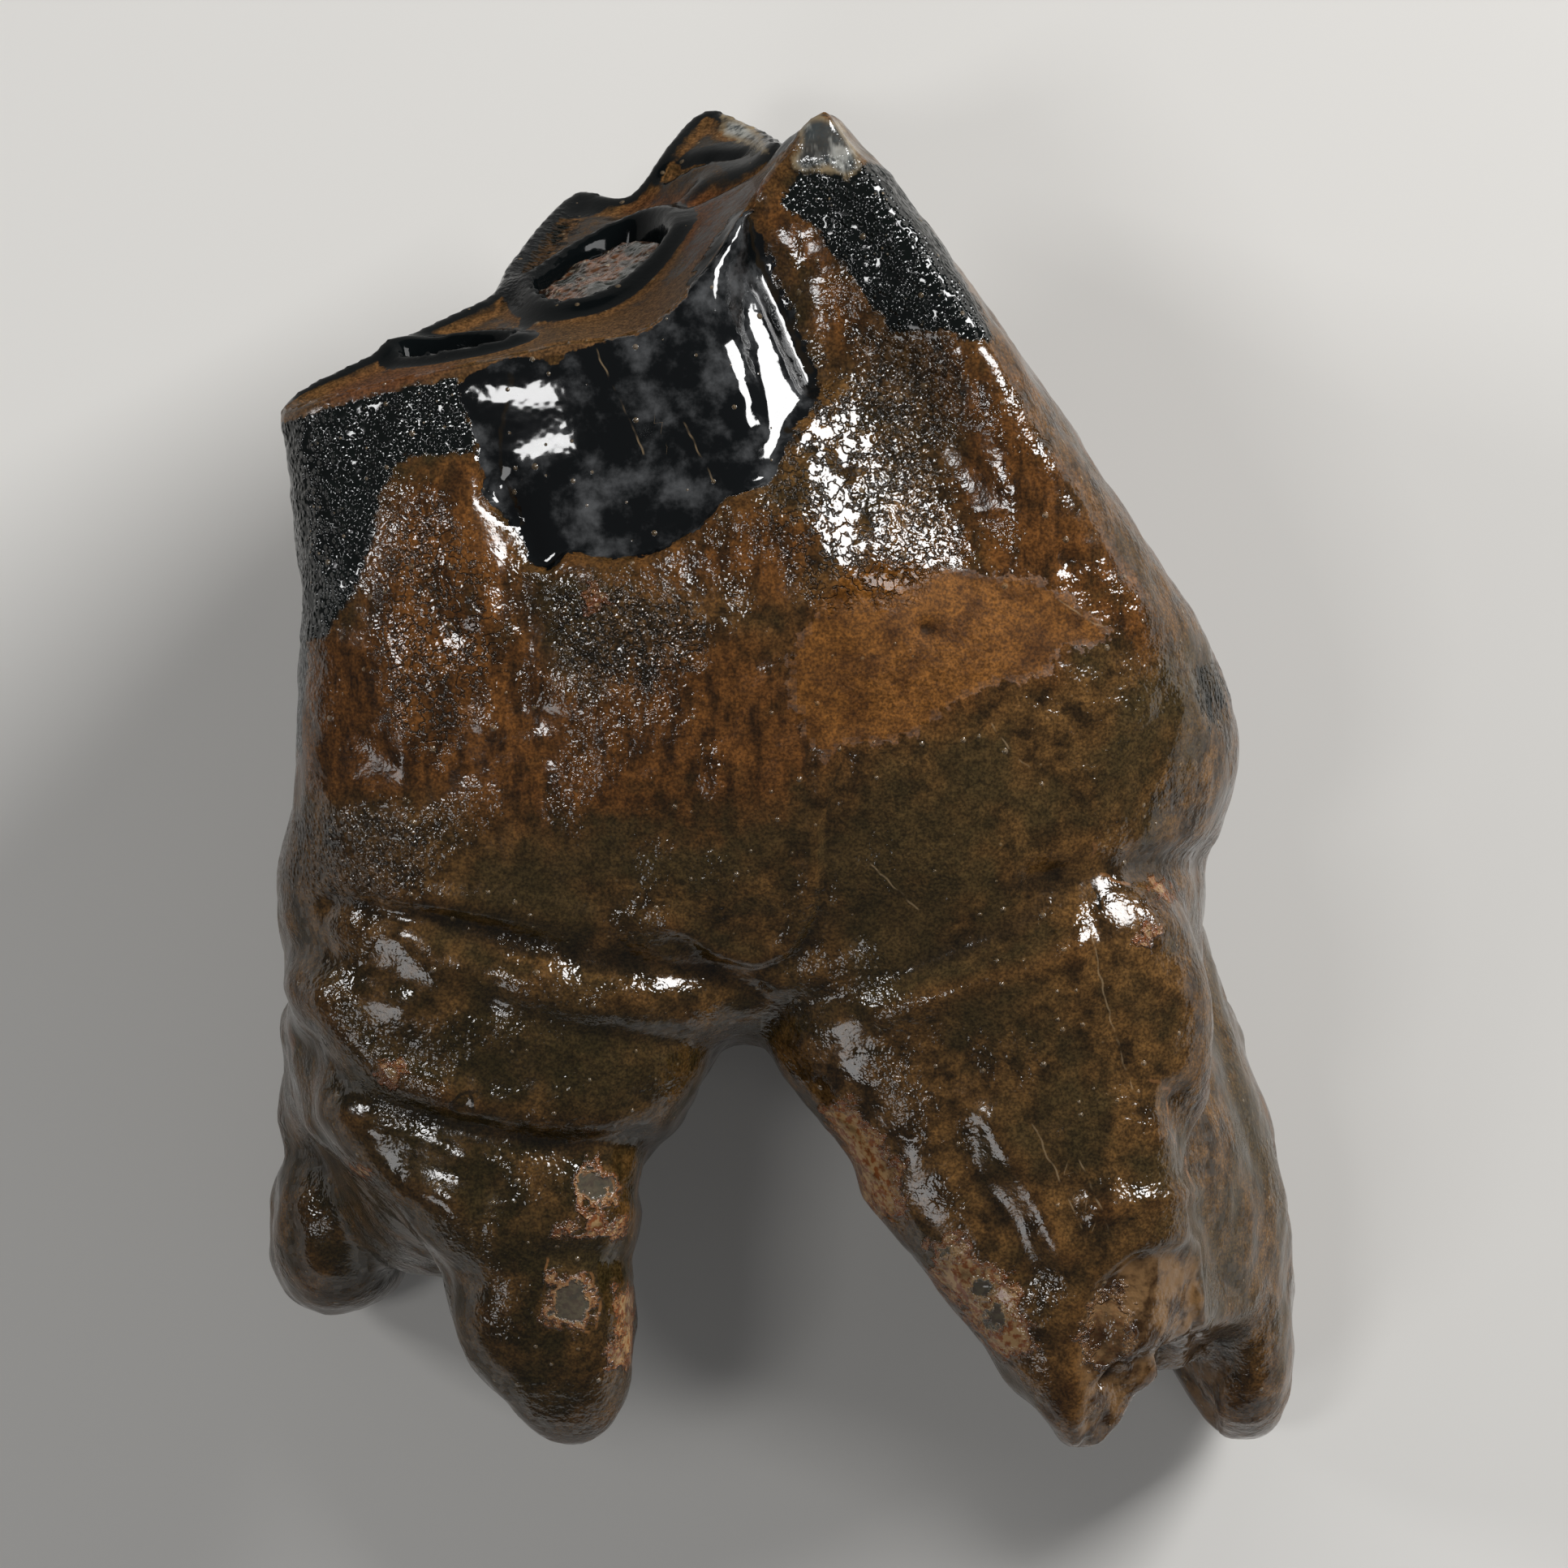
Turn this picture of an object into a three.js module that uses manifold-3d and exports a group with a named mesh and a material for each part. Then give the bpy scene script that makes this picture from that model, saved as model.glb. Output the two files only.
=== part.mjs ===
// Fossil woolly rhino cheek tooth, life size, lying on its tongue side with the cheek side up.
// Millimetres. +Z is up, +Y runs from the root tips to the worn chewing surface, +X is towards the
// front of the mouth. The tooth is lofted from levels along Y, joined, and then parted by thin cuts
// into crown, root trunk and four roots. Cement fills two pockets of the chewing surface.
import * as THREE from "three";
import { ParametricGeometry } from "three/addons/geometries/ParametricGeometry.js";
import { mergeVertices } from "three/addons/utils/BufferGeometryUtils.js";
import Module from "manifold-3d";

const wasm = await Module();
wasm.setup();

// ---- Driving dimensions

// The crown's outline at any level is a closed curve through these rails, in order round the tooth.
// Each rail is an edge, rib or hollow that runs up the crown, with knots [level y, x, z].
const rails = {
  rearCorner: [
    [-16, -24.5, 38], [-8, -26, 41.2], [0, -26.7, 43], [10, -26.7, 44.2],
    [22, -27.8, 44.2],
  ],
  rearSide: [
    [-16, -29.2, 30], [-6, -29.6, 33], [0, -28.8, 35], [6, -28.5, 36.4], [12, -28, 38],
    [22, -29.1, 40.8],
  ],
  rearWing: [[-16, -28.6, 22], [-6, -29.2, 23], [0, -28.2, 24], [10, -27.4, 29], [25, -24.6, 38.4]],
  rearHollow: [[-16, -26, 13], [0, -27, 15], [12, -24.5, 21], [28.5, -17.6, 33]],
  rearCusp: [[-16, -20.5, 6.5], [0, -22.5, 7], [12, -21, 11.5], [31, -16.2, 26]],
  rearCuspTop: [
    [-16, -12, 3], [0, -12.5, 1], [7, -12.5, -0.3], [16, -12.8, 3], [26, -12.8, 10],
    [36, -12.6, 17],
  ],
  valleyWall: [
    [-16, -2, 4], [0, -2.4, 3.2], [8, -2.8, 3.6], [18, -4.8, 8], [28, -7.4, 15],
    [37, -9.4, 20.6],
  ],
  frontCuspTop: [
    [-16, 8, 3], [0, 8.5, 1], [8, 7.4, -0.3], [18, 3.8, 2.6], [28, -0.6, 8.8],
    [40, -5, 15.6],
  ],
  frontCusp: [[-16, 17.5, 6.5], [0, 19.4, 6.5], [10, 17, 8.5], [24, 8.6, 13.5], [40, -1.9, 19.6]],
  frontHollow: [[-16, 23.4, 13], [0, 25, 15], [10, 22.6, 17], [24, 12.6, 23], [38, 0, 31]],
  frontSide: [
    [-16, 25.6, 23], [-7, 25, 24], [1, 26.8, 27], [6, 26.2, 30], [12, 22.8, 32.8],
    [24, 14.7, 36], [30, 10.2, 37.2], [38.6, 3.2, 38.2],
  ],
  frontCorner: [
    [-16, 23.6, 32], [-7, 23.2, 33.6], [2, 24.9, 36.4], [10, 21.7, 40.2], [24, 13.6, 42.6],
    [30, 9.3, 42.9], [38.6, 2.9, 42],
  ],
  frontColumn: [
    [-16, 19, 37.5], [-6, 19.5, 40], [4, 20, 42], [14, 15.5, 44], [26, 10, 45.2],
    [38.4, 2.7, 43.8],
  ],
  columnTrough: [
    [-16, 13, 39], [-4, 14.5, 42.8], [8, 13.6, 44.6], [20, 8, 44.4], [30, 4.2, 44.4],
    [38, 1.8, 43.8],
  ],
  styleGroove: [
    [-16, 7, 39], [-4, 9, 44], [8, 8.4, 46.4], [16, 4.8, 45.9], [26, 1.8, 44.2],
    [35, -0.9, 43.6],
  ],
  middleRib: [[-16, 0, 37], [-6, 2, 43.6], [6, 2, 47.6], [18, -0.8, 48], [32, -4.4, 45.8]],
  cheekMiddle: [[-16, -9, 38.6], [-6, -8, 43.9], [6, -9, 47], [16, -10, 47.2], [28, -12.4, 46]],
  cheekRear: [[-16, -17, 39.4], [-6, -18, 43.6], [6, -19, 46], [14, -19.5, 46], [25, -21, 45.8]],
};
const crown = {
  columnsPerRail: 5,
  wallSteps: 16,
  capSteps: 9,
  bottom: -15.8, // the roof between the roots
  bottomRound: 3.6,
  middle: [-2, 24], // x and z of the roof's middle
  capMiddle: [-9, 33],
};

// The worn surface: how high it stands along X at its cheek edge and at its tongue edge.
const wear = {
  cheek: {
    z: 45.4,
    edge: [
      [-30, 19.8], [-27, 21.6], [-19.5, 23.8], [-13.7, 25], [-8, 26.4], [-4.6, 29.6],
      [-2, 33.1], [1, 37.5], [2.2, 38.5], [5, 38],
    ],
  },
  tongue: {
    z: 17,
    edge: [
      [-30, 28.8], [-20, 33], [-13, 35.6], [-10, 36.9], [-7.5, 38.6], [-5, 40.2],
      [-3.4, 40.4], [-1, 39.9], [3, 39],
    ],
  },
};
const valleys = [
  {
    name: "between the tongue-side cusps",
    path: [[-11.6, 6], [-10.2, 16], [-9, 21], [-7, 25]],
    depth: 0.9, width: 1.5,
  },
  { name: "in front of the front cusp", path: [[6, 31], [-1, 31], [-4.6, 29]], depth: 1, width: 1.1 },
];

// Creases and ribs of the cheek side: a stroke from point to point [x, y], sunk or raised by height.
const folds = [
  { name: "bulge of cement", path: [[-21.8, 17], [-20, 12.4], [-21, 5]], height: 0.5, width: 3 },
  { name: "rear groove", path: [[-16.6, 17], [-15, 8.2], [-15.3, 4.5]], height: -0.6, width: 1.6 },
  { name: "column trough", path: [[4.4, 25.6], [7.2, 21], [10.5, 14.3]], height: -0.5, width: 2.4 },
  {
    name: "neck crease, rear",
    path: [[-26.5, -7], [-21, -7.7], [-15.3, -9.2], [-10.6, -10.6], [-4.5, -11.1], [-1.7, -12.3]],
    height: -0.9, width: 1.3,
  },
  { name: "neck crease, front", path: [[14.7, -5.4], [19, -5], [24.5, -4.6]], height: -0.8, width: 1.4 },
  {
    name: "second crease, rear",
    path: [[-28, -9.3], [-21, -11.8], [-13.4, -13.9], [-5.4, -15.2]],
    height: -0.4, width: 1.4,
  },
  {
    name: "fold crease, front",
    path: [[-0.3, -13.4], [4.4, -11.8], [8.6, -10], [13.3, -8], [16, -6.6]],
    height: -0.6, width: 1.3,
  },
  {
    name: "root ring",
    path: [[-26.6, -12.4], [-25, -14.5], [-22.7, -16.7], [-20, -17.7]],
    height: 0.55, width: 1.3,
  },
  {
    name: "root ring groove",
    path: [[-28, -15.2], [-25.6, -17.7], [-22.3, -19], [-18, -20.3], [-12.4, -21.3], [-8.2, -21]],
    height: -0.9, width: 1.3,
  },
  {
    name: "lower ring groove",
    path: [[-28, -21.2], [-25, -24.4], [-21.8, -27], [-18.5, -29]],
    height: -0.8, width: 1.5,
  },
  {
    name: "groove between the front root's columns",
    path: [[23.2, -18.4], [24.2, -22.2], [25.6, -26.4], [26, -29.7], [25.4, -34]],
    height: -1.2, width: 1.4,
  },
];
// Parts of the cheek side that are sunk as a whole, each by a depth inside its outline of [x, y].
const panels = [
  {
    name: "bare enamel",
    outline: [
      [-19, 23], [-16, 24.6], [-10.3, 26], [-5.6, 29.6], [-2.1, 34], [-0.5, 31], [2.4, 23.6],
      [-0.6, 17.4], [-5, 14.8], [-8, 13], [-13.7, 12], [-15.8, 15],
    ],
    depth: 0.8, edge: 0.8,
  },
  {
    name: "broken root end",
    outline: [[17, -31.5], [18, -29], [20.3, -27], [23.6, -26.6], [25, -28.7], [25, -40], [16, -40]],
    depth: 0.9, edge: 0.9,
  },
];

// Roots: a column each, with knots [level y, value] from the crown down to the tip.
const roots = {
  rear_cheek: {
    x: [
      [-2, -13], [-9, -15], [-14, -15.4], [-18, -16.4], [-21, -16.9], [-24, -16.4], [-27, -15.3],
      [-30, -14.6], [-33, -14], [-36, -13.2], [-39.2, -12.4],
    ],
    z: [[-2, 31], [-18, 30.5], [-30, 29.5], [-39.2, 28]],
    halfX: [
      [-2, 10], [-9, 13.6], [-14, 13.4], [-18, 11.4], [-21, 9.7], [-24, 7.8], [-27, 6.3],
      [-30, 5.5], [-33, 5.1], [-36, 4.3], [-39.2, 3.4],
    ],
    halfZ: [[-2, 8], [-9, 11.6], [-14, 10.8], [-20, 9.2], [-28, 7.6], [-39.2, 5]],
    rings: 0.024, squareness: 3,
  },
  rear_tongue: {
    x: [[-2, -17], [-9, -21.6], [-14, -24], [-20, -25.6], [-26, -26.8], [-32.6, -27.6]],
    z: [[-2, 14], [-16, 12], [-26, 9.4], [-32.6, 8.3]],
    halfX: [[-2, 5.4], [-9, 6.4], [-14, 5.9], [-20, 4.9], [-26, 4.5], [-32.6, 4.1]],
    halfZ: [[-2, 7], [-9, 8.8], [-16, 10], [-22, 10], [-28, 9.4], [-32.6, 8.6]],
    rings: 0.024, squareness: 2.3,
  },
  front_cheek: {
    x: [[-2, 10], [-16, 12.2], [-20, 13.5], [-24, 14.7], [-28, 15.9], [-32.8, 17.3], [-39.4, 17.6]],
    z: [[-2, 32], [-18, 32], [-39.4, 31.5]],
    halfX: [
      [-2, 10], [-9, 13], [-16, 12.9], [-20, 11], [-24, 9.8], [-28, 8.3], [-32.8, 6],
      [-36, 3.7], [-39.4, 2],
    ],
    halfZ: [[-2, 8], [-9, 10.4], [-18, 8.2], [-28, 6.6], [-39.4, 3.6]],
    rings: 0.01, squareness: 2.8,
  },
  front_tongue: {
    x: [[-2, 14], [-8, 18.4], [-12, 21], [-18, 23.6], [-26, 26.2], [-34, 27.2], [-40.4, 28.3]],
    z: [[-2, 13.5], [-18, 12.6], [-30, 10.6], [-40.4, 8]],
    halfX: [[-2, 5.4], [-8, 6.6], [-12, 5.8], [-18, 5.3], [-26, 4.6], [-34, 3.9], [-40.4, 2.9]],
    halfZ: [[-2, 6.5], [-8, 8.6], [-13, 10], [-20, 11.5], [-30, 10.8], [-40.4, 7.6]],
    rings: 0.01, squareness: 2.3,
  },
};
const rootGrid = {
  columns: 22,
  steps: 14,
  tipRound: 5,
  tipSquareness: 2.2,
  ringPitch: 7,
};

// A web of bone joins the two roots of each side, down to an edge above their tips. half is half its
// thickness and shift how far its middle stands towards the front of the mouth. Squareness 2 is an
// ellipse and more is boxier, and taper is how much thicker it is at its cheek side than at its middle.
const webs = {
  rear: {
    joins: ["rear_cheek", "rear_tongue"],
    tip: -30,
    half: [[-2, 6], [-14, 8], [-18, 7.2], [-23, 5.8], [-30, 4.6]],
    shift: [[-2, -0.5], [-14, -3], [-18, -2.2], [-23, -1.2], [-30, -0.2]],
  },
  front: {
    joins: ["front_cheek", "front_tongue"],
    tip: -35.4,
    half: [[-2, 6], [-14, 6.4], [-24, 5.6], [-35.4, 4.4]],
    shift: [[-2, 0.5], [-14, 2], [-24, 2.4], [-35.4, 1.8]],
  },
};
const webShape = { squareness: 4, taper: 0.4 };

// Pockets of the chewing surface, each a pointed oval sunk square to it and filled with cement.
const pockets = {
  middle: { x: -10.8, z: 32.6, halfX: 4.8, halfZ: 6.6, lean: -14, depth: 8, fillBelow: 0.5 },
  rear: { x: -19.4, z: 39.2, halfX: 4.1, halfZ: 1.4, lean: -24, depth: 6, fillBelow: 0.7 },
};

// Where the whole tooth is parted.
const gap = 0.3;
const neckLevel = -8.4;
const forkLevel = -16.4;
const webMiddle = 20.6; // z at which the cheek and tongue roots of a side are parted

// ---- Curves

// A smooth curve through knots, with the mean slope of its neighbours at each knot, level past its ends.
function through(knots, column = 1) {
  const ordered = knots[0][0] < knots.at(-1)[0] ? knots : [...knots].reverse();
  const last = ordered.length - 1;
  const slopes = ordered.map((knot, i) => {
    const before = ordered[Math.max(i - 1, 0)];
    const after = ordered[Math.min(i + 1, last)];
    return (after[column] - before[column]) / (after[0] - before[0]);
  });
  return (at) => {
    if (at <= ordered[0][0]) return ordered[0][column];
    if (at >= ordered[last][0]) return ordered[last][column];
    const i = ordered.findIndex((knot) => knot[0] > at) - 1;
    const step = ordered[i + 1][0] - ordered[i][0];
    const t = (at - ordered[i][0]) / step;
    const rest = 1 - t;
    const fromBefore = ordered[i][column] * (1 + 2 * t) * rest * rest;
    const fromAfter = ordered[i + 1][column] * (3 - 2 * t) * t * t;
    return fromBefore + fromAfter + step * t * rest * (slopes[i] * rest - slopes[i + 1] * t);
  };
}

// Distance from a point to a path of straight stretches.
function distanceTo(path, x, y) {
  let nearest = Infinity;
  for (let i = 0; i < path.length - 1; i++) {
    const [fromX, fromY] = path[i];
    const alongX = path[i + 1][0] - fromX;
    const alongY = path[i + 1][1] - fromY;
    const share = ((x - fromX) * alongX + (y - fromY) * alongY) / (alongX * alongX + alongY * alongY);
    const t = THREE.MathUtils.clamp(share, 0, 1);
    nearest = Math.min(nearest, Math.hypot(x - fromX - t * alongX, y - fromY - t * alongY));
  }
  return nearest;
}

// The height of a stroke's bell-shaped section, 1 on its path.
const bell = (path, width, x, y) => Math.exp(-((distanceTo(path, x, y) / width) ** 2));

// Distance inside an outline, less than 0 outside it.
function insideOf(outline, x, y) {
  const closed = [...outline, outline[0]];
  let inside = false;
  for (let i = 0; i < outline.length; i++) {
    const [fromX, fromY] = closed[i];
    const [toX, toY] = closed[i + 1];
    const crosses = fromY > y !== toY > y;
    if (crosses && x < ((toX - fromX) * (y - fromY)) / (toY - fromY) + fromX) inside = !inside;
  }
  return (inside ? 1 : -1) * distanceTo(closed, x, y);
}

// How far the folds and panels of the cheek side raise a point there, fading out down the other sides.
function reliefHeight(x, y, z) {
  const share = THREE.MathUtils.smoothstep(z, 28, 36);
  if (share === 0) return 0;
  const raised = folds.reduce(
    (sum, { path, height, width }) => sum + height * bell(path, width, x, y),
    0,
  );
  const sunk = panels.reduce(
    (sum, { outline, depth, edge }) =>
      sum + depth * THREE.MathUtils.smoothstep(insideOf(outline, x, y), -edge, edge),
    0,
  );
  return share * (raised - sunk);
}

// ---- Crown

const railCurves = Object.values(rails).map((knots) => ({ x: through(knots, 1), z: through(knots, 2) }));
const cheekEdge = through(wear.cheek.edge);
const tongueEdge = through(wear.tongue.edge);

// Height of the worn surface over a point of the X-Z plan, with its valleys.
function wornHeight(x, z) {
  const share = (wear.cheek.z - z) / (wear.cheek.z - wear.tongue.z);
  const plane = THREE.MathUtils.lerp(cheekEdge(x), tongueEdge(x), share);
  return valleys.reduce((y, valley) => y - valley.depth * bell(valley.path, valley.width, x, z), plane);
}

// A point of the crown's wall, a share of the way round it and at a level y.
function wallPoint(around, y) {
  const at = (around % 1) * railCurves.length;
  const first = Math.floor(at);
  const railAt = (i) => railCurves[(i + railCurves.length) % railCurves.length];
  const [a, b, c, d] = [first - 1, first, first + 1, first + 2].map(railAt);
  const t = at - first;
  const blend = (p, q, r, s) =>
    q + 0.5 * t * (r - p + t * (2 * p - 5 * q + 4 * r - s + t * (3 * (q - r) + s - p)));
  const x = blend(a.x(y), b.x(y), c.x(y), d.x(y));
  const z = blend(a.z(y), b.z(y), c.z(y), d.z(y));
  return [x, z + reliefHeight(x, y, z)];
}

// The level at which a column of the wall meets the worn surface, found by stepping towards it.
function rimLevel(around) {
  let y = 30;
  for (let i = 0; i < 60; i++) y += 0.35 * (wornHeight(...wallPoint(around, y)) - y);
  return y;
}

// The wall runs up from the roof between the roots to the rim, and the cap from the rim to its middle.
function crownSolid() {
  const columns = railCurves.length * crown.columnsPerRail;
  const steps = crown.wallSteps + crown.capSteps;
  const rims = Array.from({ length: columns }, (_, i) => rimLevel(i / columns));
  const [middleX, middleZ] = crown.middle;
  const [capX, capZ] = crown.capMiddle;
  const surface = (u, v, target) => {
    const around = u % 1;
    const rim = rims[Math.round(around * columns) % columns];
    const step = Math.round(v * steps);
    if (step <= crown.wallSteps) {
      const share = step / crown.wallSteps;
      const y = crown.bottom + (rim - crown.bottom) * share ** 1.25;
      const [x, z] = wallPoint(around, y);
      const rounding = Math.sqrt(1 - (1 - Math.min((y - crown.bottom) / crown.bottomRound, 1)) ** 2);
      target.set(middleX + (x - middleX) * rounding, y, middleZ + (z - middleZ) * rounding);
    } else {
      const inward = (step - crown.wallSteps) / crown.capSteps;
      const [rimX, rimZ] = wallPoint(around, rim);
      const x = rimX + (capX - rimX) * inward;
      const z = rimZ + (capZ - rimZ) * inward;
      target.set(x, wornHeight(x, z), z);
    }
  };
  return solid(new ParametricGeometry(surface, columns, steps));
}

// ---- Roots and webs

const rootCurves = Object.fromEntries(
  Object.entries(roots).map(([name, root]) => [
    name,
    {
      tip: root.x.at(-1)[0],
      top: root.x[0][0],
      rings: root.rings,
      squareness: root.squareness,
      x: through(root.x),
      z: through(root.z),
      halfX: through(root.halfX),
      halfZ: through(root.halfZ),
    },
  ]),
);

// Cosine and sine of an angle on a superellipse, of squareness 2 for a circle and more for a boxier one.
function squared(angle, squareness) {
  const c = Math.cos(angle);
  const s = Math.sin(angle);
  const reach = (Math.abs(c) ** squareness + Math.abs(s) ** squareness) ** (-1 / squareness);
  return [c * reach, s * reach];
}

// Closed loft down Y: section(angle, y) gives x and z about the middle, and the tip is rounded off.
function columnSolid(top, tip, middle, section) {
  const { columns, steps, tipRound, tipSquareness } = rootGrid;
  const surface = (u, v, target) => {
    const angle = (u % 1) * 2 * Math.PI;
    const y = top + (tip - top) * Math.sin((v * Math.PI) / 2) ** 1.1;
    const fromTip = THREE.MathUtils.clamp((y - tip) / tipRound, 0, 1);
    const rounding = v === 0 ? 0 : (1 - (1 - fromTip) ** tipSquareness) ** (1 / tipSquareness);
    const [middleX, middleZ] = middle(y);
    const [x, z] = section(angle, y);
    const [atX, atZ] = [middleX + x * rounding, middleZ + z * rounding];
    target.set(atX, y, atZ + reliefHeight(atX, y, atZ));
  };
  return solid(new ParametricGeometry(surface, columns, steps));
}

function rootSolid({ tip, top, rings, squareness, x, z, halfX, halfZ }) {
  const section = (angle, y) => {
    const swell = 1 + rings * Math.sin((2 * Math.PI * y) / rootGrid.ringPitch);
    const [c, s] = squared(angle, squareness);
    return [c * halfX(y) * swell, s * halfZ(y) * swell];
  };
  return columnSolid(top, tip, (y) => [x(y), z(y)], section);
}

function webSolid({ joins, tip, half, shift }) {
  const [cheek, tongue] = joins.map((name) => rootCurves[name]);
  const halfThick = through(half);
  const shiftAt = through(shift);
  const middle = (y) => [(cheek.x(y) + tongue.x(y)) / 2, (cheek.z(y) + tongue.z(y)) / 2];
  const section = (angle, y) => {
    const spanX = (cheek.x(y) - tongue.x(y)) / 2;
    const spanZ = (cheek.z(y) - tongue.z(y)) / 2;
    const halfLong = Math.hypot(spanX, spanZ);
    const [c, along] = squared(angle, webShape.squareness);
    const across = (shiftAt(y) + c * halfThick(y) * (1 + webShape.taper * along)) / halfLong;
    return [along * spanX + across * spanZ, along * spanZ - across * spanX];
  };
  return columnSolid(cheek.top, tip, middle, section);
}

// ---- Solids

// A closed geometry as a solid: shared points merged, empty triangles dropped, and faces turned outwards.
function solid(geometry) {
  geometry.deleteAttribute("normal");
  geometry.deleteAttribute("uv");
  const merged = mergeVertices(geometry, 1e-4);
  const outward = [];
  const inward = [];
  for (let i = 0; i < merged.index.count; i += 3) {
    const [a, b, c] = [0, 1, 2].map((k) => merged.index.getX(i + k));
    if (a === b || b === c || c === a) continue;
    outward.push(a, b, c);
    inward.push(a, c, b);
  }
  const made = [outward, inward].map((corners) => {
    const vertProperties = new Float32Array(merged.attributes.position.array);
    const triVerts = new Uint32Array(corners);
    return new wasm.Manifold(new wasm.Mesh({ numProp: 3, vertProperties, triVerts }));
  });
  return made[0].volume() > 0 ? made[0] : made[1];
}

function box(sizeX, sizeY, sizeZ, x, y, z) {
  return solid(new THREE.BoxGeometry(sizeX, sizeY, sizeZ).translate(x, y, z));
}

// Pointed oval drawn out square to the worn surface, from a depth below its mouth to a height above it.
function ovalPlug({ x, z, halfX, halfZ, lean }, depth, above, inset) {
  const outline = new THREE.Shape();
  const [reachX, reachZ] = [halfX - inset, halfZ - inset];
  const bow = (4 / 3) * reachZ;
  outline.moveTo(-reachX, 0);
  outline.bezierCurveTo(-reachX * 0.6, bow, reachX * 0.6, bow, reachX, 0);
  outline.bezierCurveTo(reachX * 0.6, -bow, -reachX * 0.6, -bow, -reachX, 0);
  const options = { depth: depth + above, bevelEnabled: false, curveSegments: 10 };
  const geometry = new THREE.ExtrudeGeometry(outline, options).translate(0, 0, -depth);
  const step = 1;
  const tiltX = Math.atan((wornHeight(x, z - step) - wornHeight(x, z + step)) / (2 * step));
  geometry.rotateX(-Math.PI / 2).rotateY(THREE.MathUtils.degToRad(lean)).rotateX(tiltX);
  return solid(geometry.translate(x, wornHeight(x, z), z));
}

// ---- The tooth

const far = 200;
let tooth = crownSolid();
for (const root of Object.values(rootCurves)) tooth = tooth.add(rootSolid(root));
for (const web of Object.values(webs)) tooth = tooth.add(webSolid(web));
tooth = tooth.subtract(box(far, far, far, 0, 0, -far / 2)); // small flats where it rests on the floor

const pieces = {};
for (const [name, pocket] of Object.entries(pockets)) {
  tooth = tooth.subtract(ovalPlug(pocket, pocket.depth, pocket.depth, 0));
  pieces[`pocket_fill_${name}`] = ovalPlug(pocket, pocket.depth - gap, -pocket.fillBelow, gap);
}

// The part of the tooth between two levels, less half a gap at each.
const between = (low, high) => tooth.intersect(box(far, high - low - gap, far, 0, (low + high) / 2, 0));
pieces.crown = between(neckLevel, far / 2);
pieces.root_trunk = between(forkLevel, neckLevel);
const rootEnds = between(-far / 2, forkLevel);
for (const name of Object.keys(roots)) {
  const sideX = name.startsWith("rear") ? -far / 2 - 2 : far / 2 - 2;
  const reach = name.endsWith("cheek") ? far / 2 + gap / 2 : -far / 2 - gap / 2;
  pieces[`root_${name}`] = rootEnds.intersect(box(far, far, far, sideX, 0, webMiddle + reach));
}

// ---- Meshes and materials

const enamel = new THREE.MeshStandardMaterial({ color: 0x4a2f1b, roughness: 0.3, metalness: 0 });
const rootCement = new THREE.MeshStandardMaterial({ color: 0x33271b, roughness: 0.4, metalness: 0 });
const fillCement = new THREE.MeshStandardMaterial({ color: 0x5a3f26, roughness: 0.6, metalness: 0 });

function materialOf(name) {
  if (name === "crown") return enamel;
  return name.startsWith("root") ? rootCement : fillCement;
}

const group = new THREE.Group();
for (const [name, manifold] of Object.entries(pieces)) {
  const { vertProperties, triVerts, numProp } = manifold.getMesh();
  const geometry = new THREE.BufferGeometry();
  geometry.setAttribute("position", new THREE.BufferAttribute(vertProperties, numProp));
  geometry.setIndex(new THREE.BufferAttribute(triVerts, 1));
  geometry.computeVertexNormals();
  const mesh = new THREE.Mesh(geometry, materialOf(name));
  mesh.name = name;
  group.add(mesh);
}

// The origin is under the middle of the whole tooth, on the floor it lies on.
const bounds = new THREE.Box3().setFromObject(group);
const middle = bounds.getCenter(new THREE.Vector3());
group.position.set(-middle.x, -middle.y, -bounds.min.z);

export default group;
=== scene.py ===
# Fossil woolly rhino cheek tooth, lying on its tongue side: one skin over crown, neck and roots,
# and the cement that fills two pockets of its chewing surface. Shapes are worked out in millimetres.
import math
from itertools import product

import bmesh
import bpy
import numpy as np
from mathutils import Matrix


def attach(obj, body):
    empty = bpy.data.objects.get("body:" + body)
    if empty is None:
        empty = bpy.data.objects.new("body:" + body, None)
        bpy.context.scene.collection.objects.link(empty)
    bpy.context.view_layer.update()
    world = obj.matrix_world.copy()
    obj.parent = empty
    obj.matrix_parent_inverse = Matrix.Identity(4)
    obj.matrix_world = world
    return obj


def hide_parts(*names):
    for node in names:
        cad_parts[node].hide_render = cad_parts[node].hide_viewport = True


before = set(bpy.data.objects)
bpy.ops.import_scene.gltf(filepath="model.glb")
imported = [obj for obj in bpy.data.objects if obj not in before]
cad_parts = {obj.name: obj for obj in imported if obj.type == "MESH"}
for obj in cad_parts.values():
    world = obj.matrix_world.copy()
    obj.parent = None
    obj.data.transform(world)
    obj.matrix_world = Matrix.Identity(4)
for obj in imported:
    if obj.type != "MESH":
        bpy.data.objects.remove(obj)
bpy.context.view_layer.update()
mm = 0.001
rowShift = np.array([0.17, -0.24, 0.0])  # from the shapes' own origin to the row's


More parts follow.
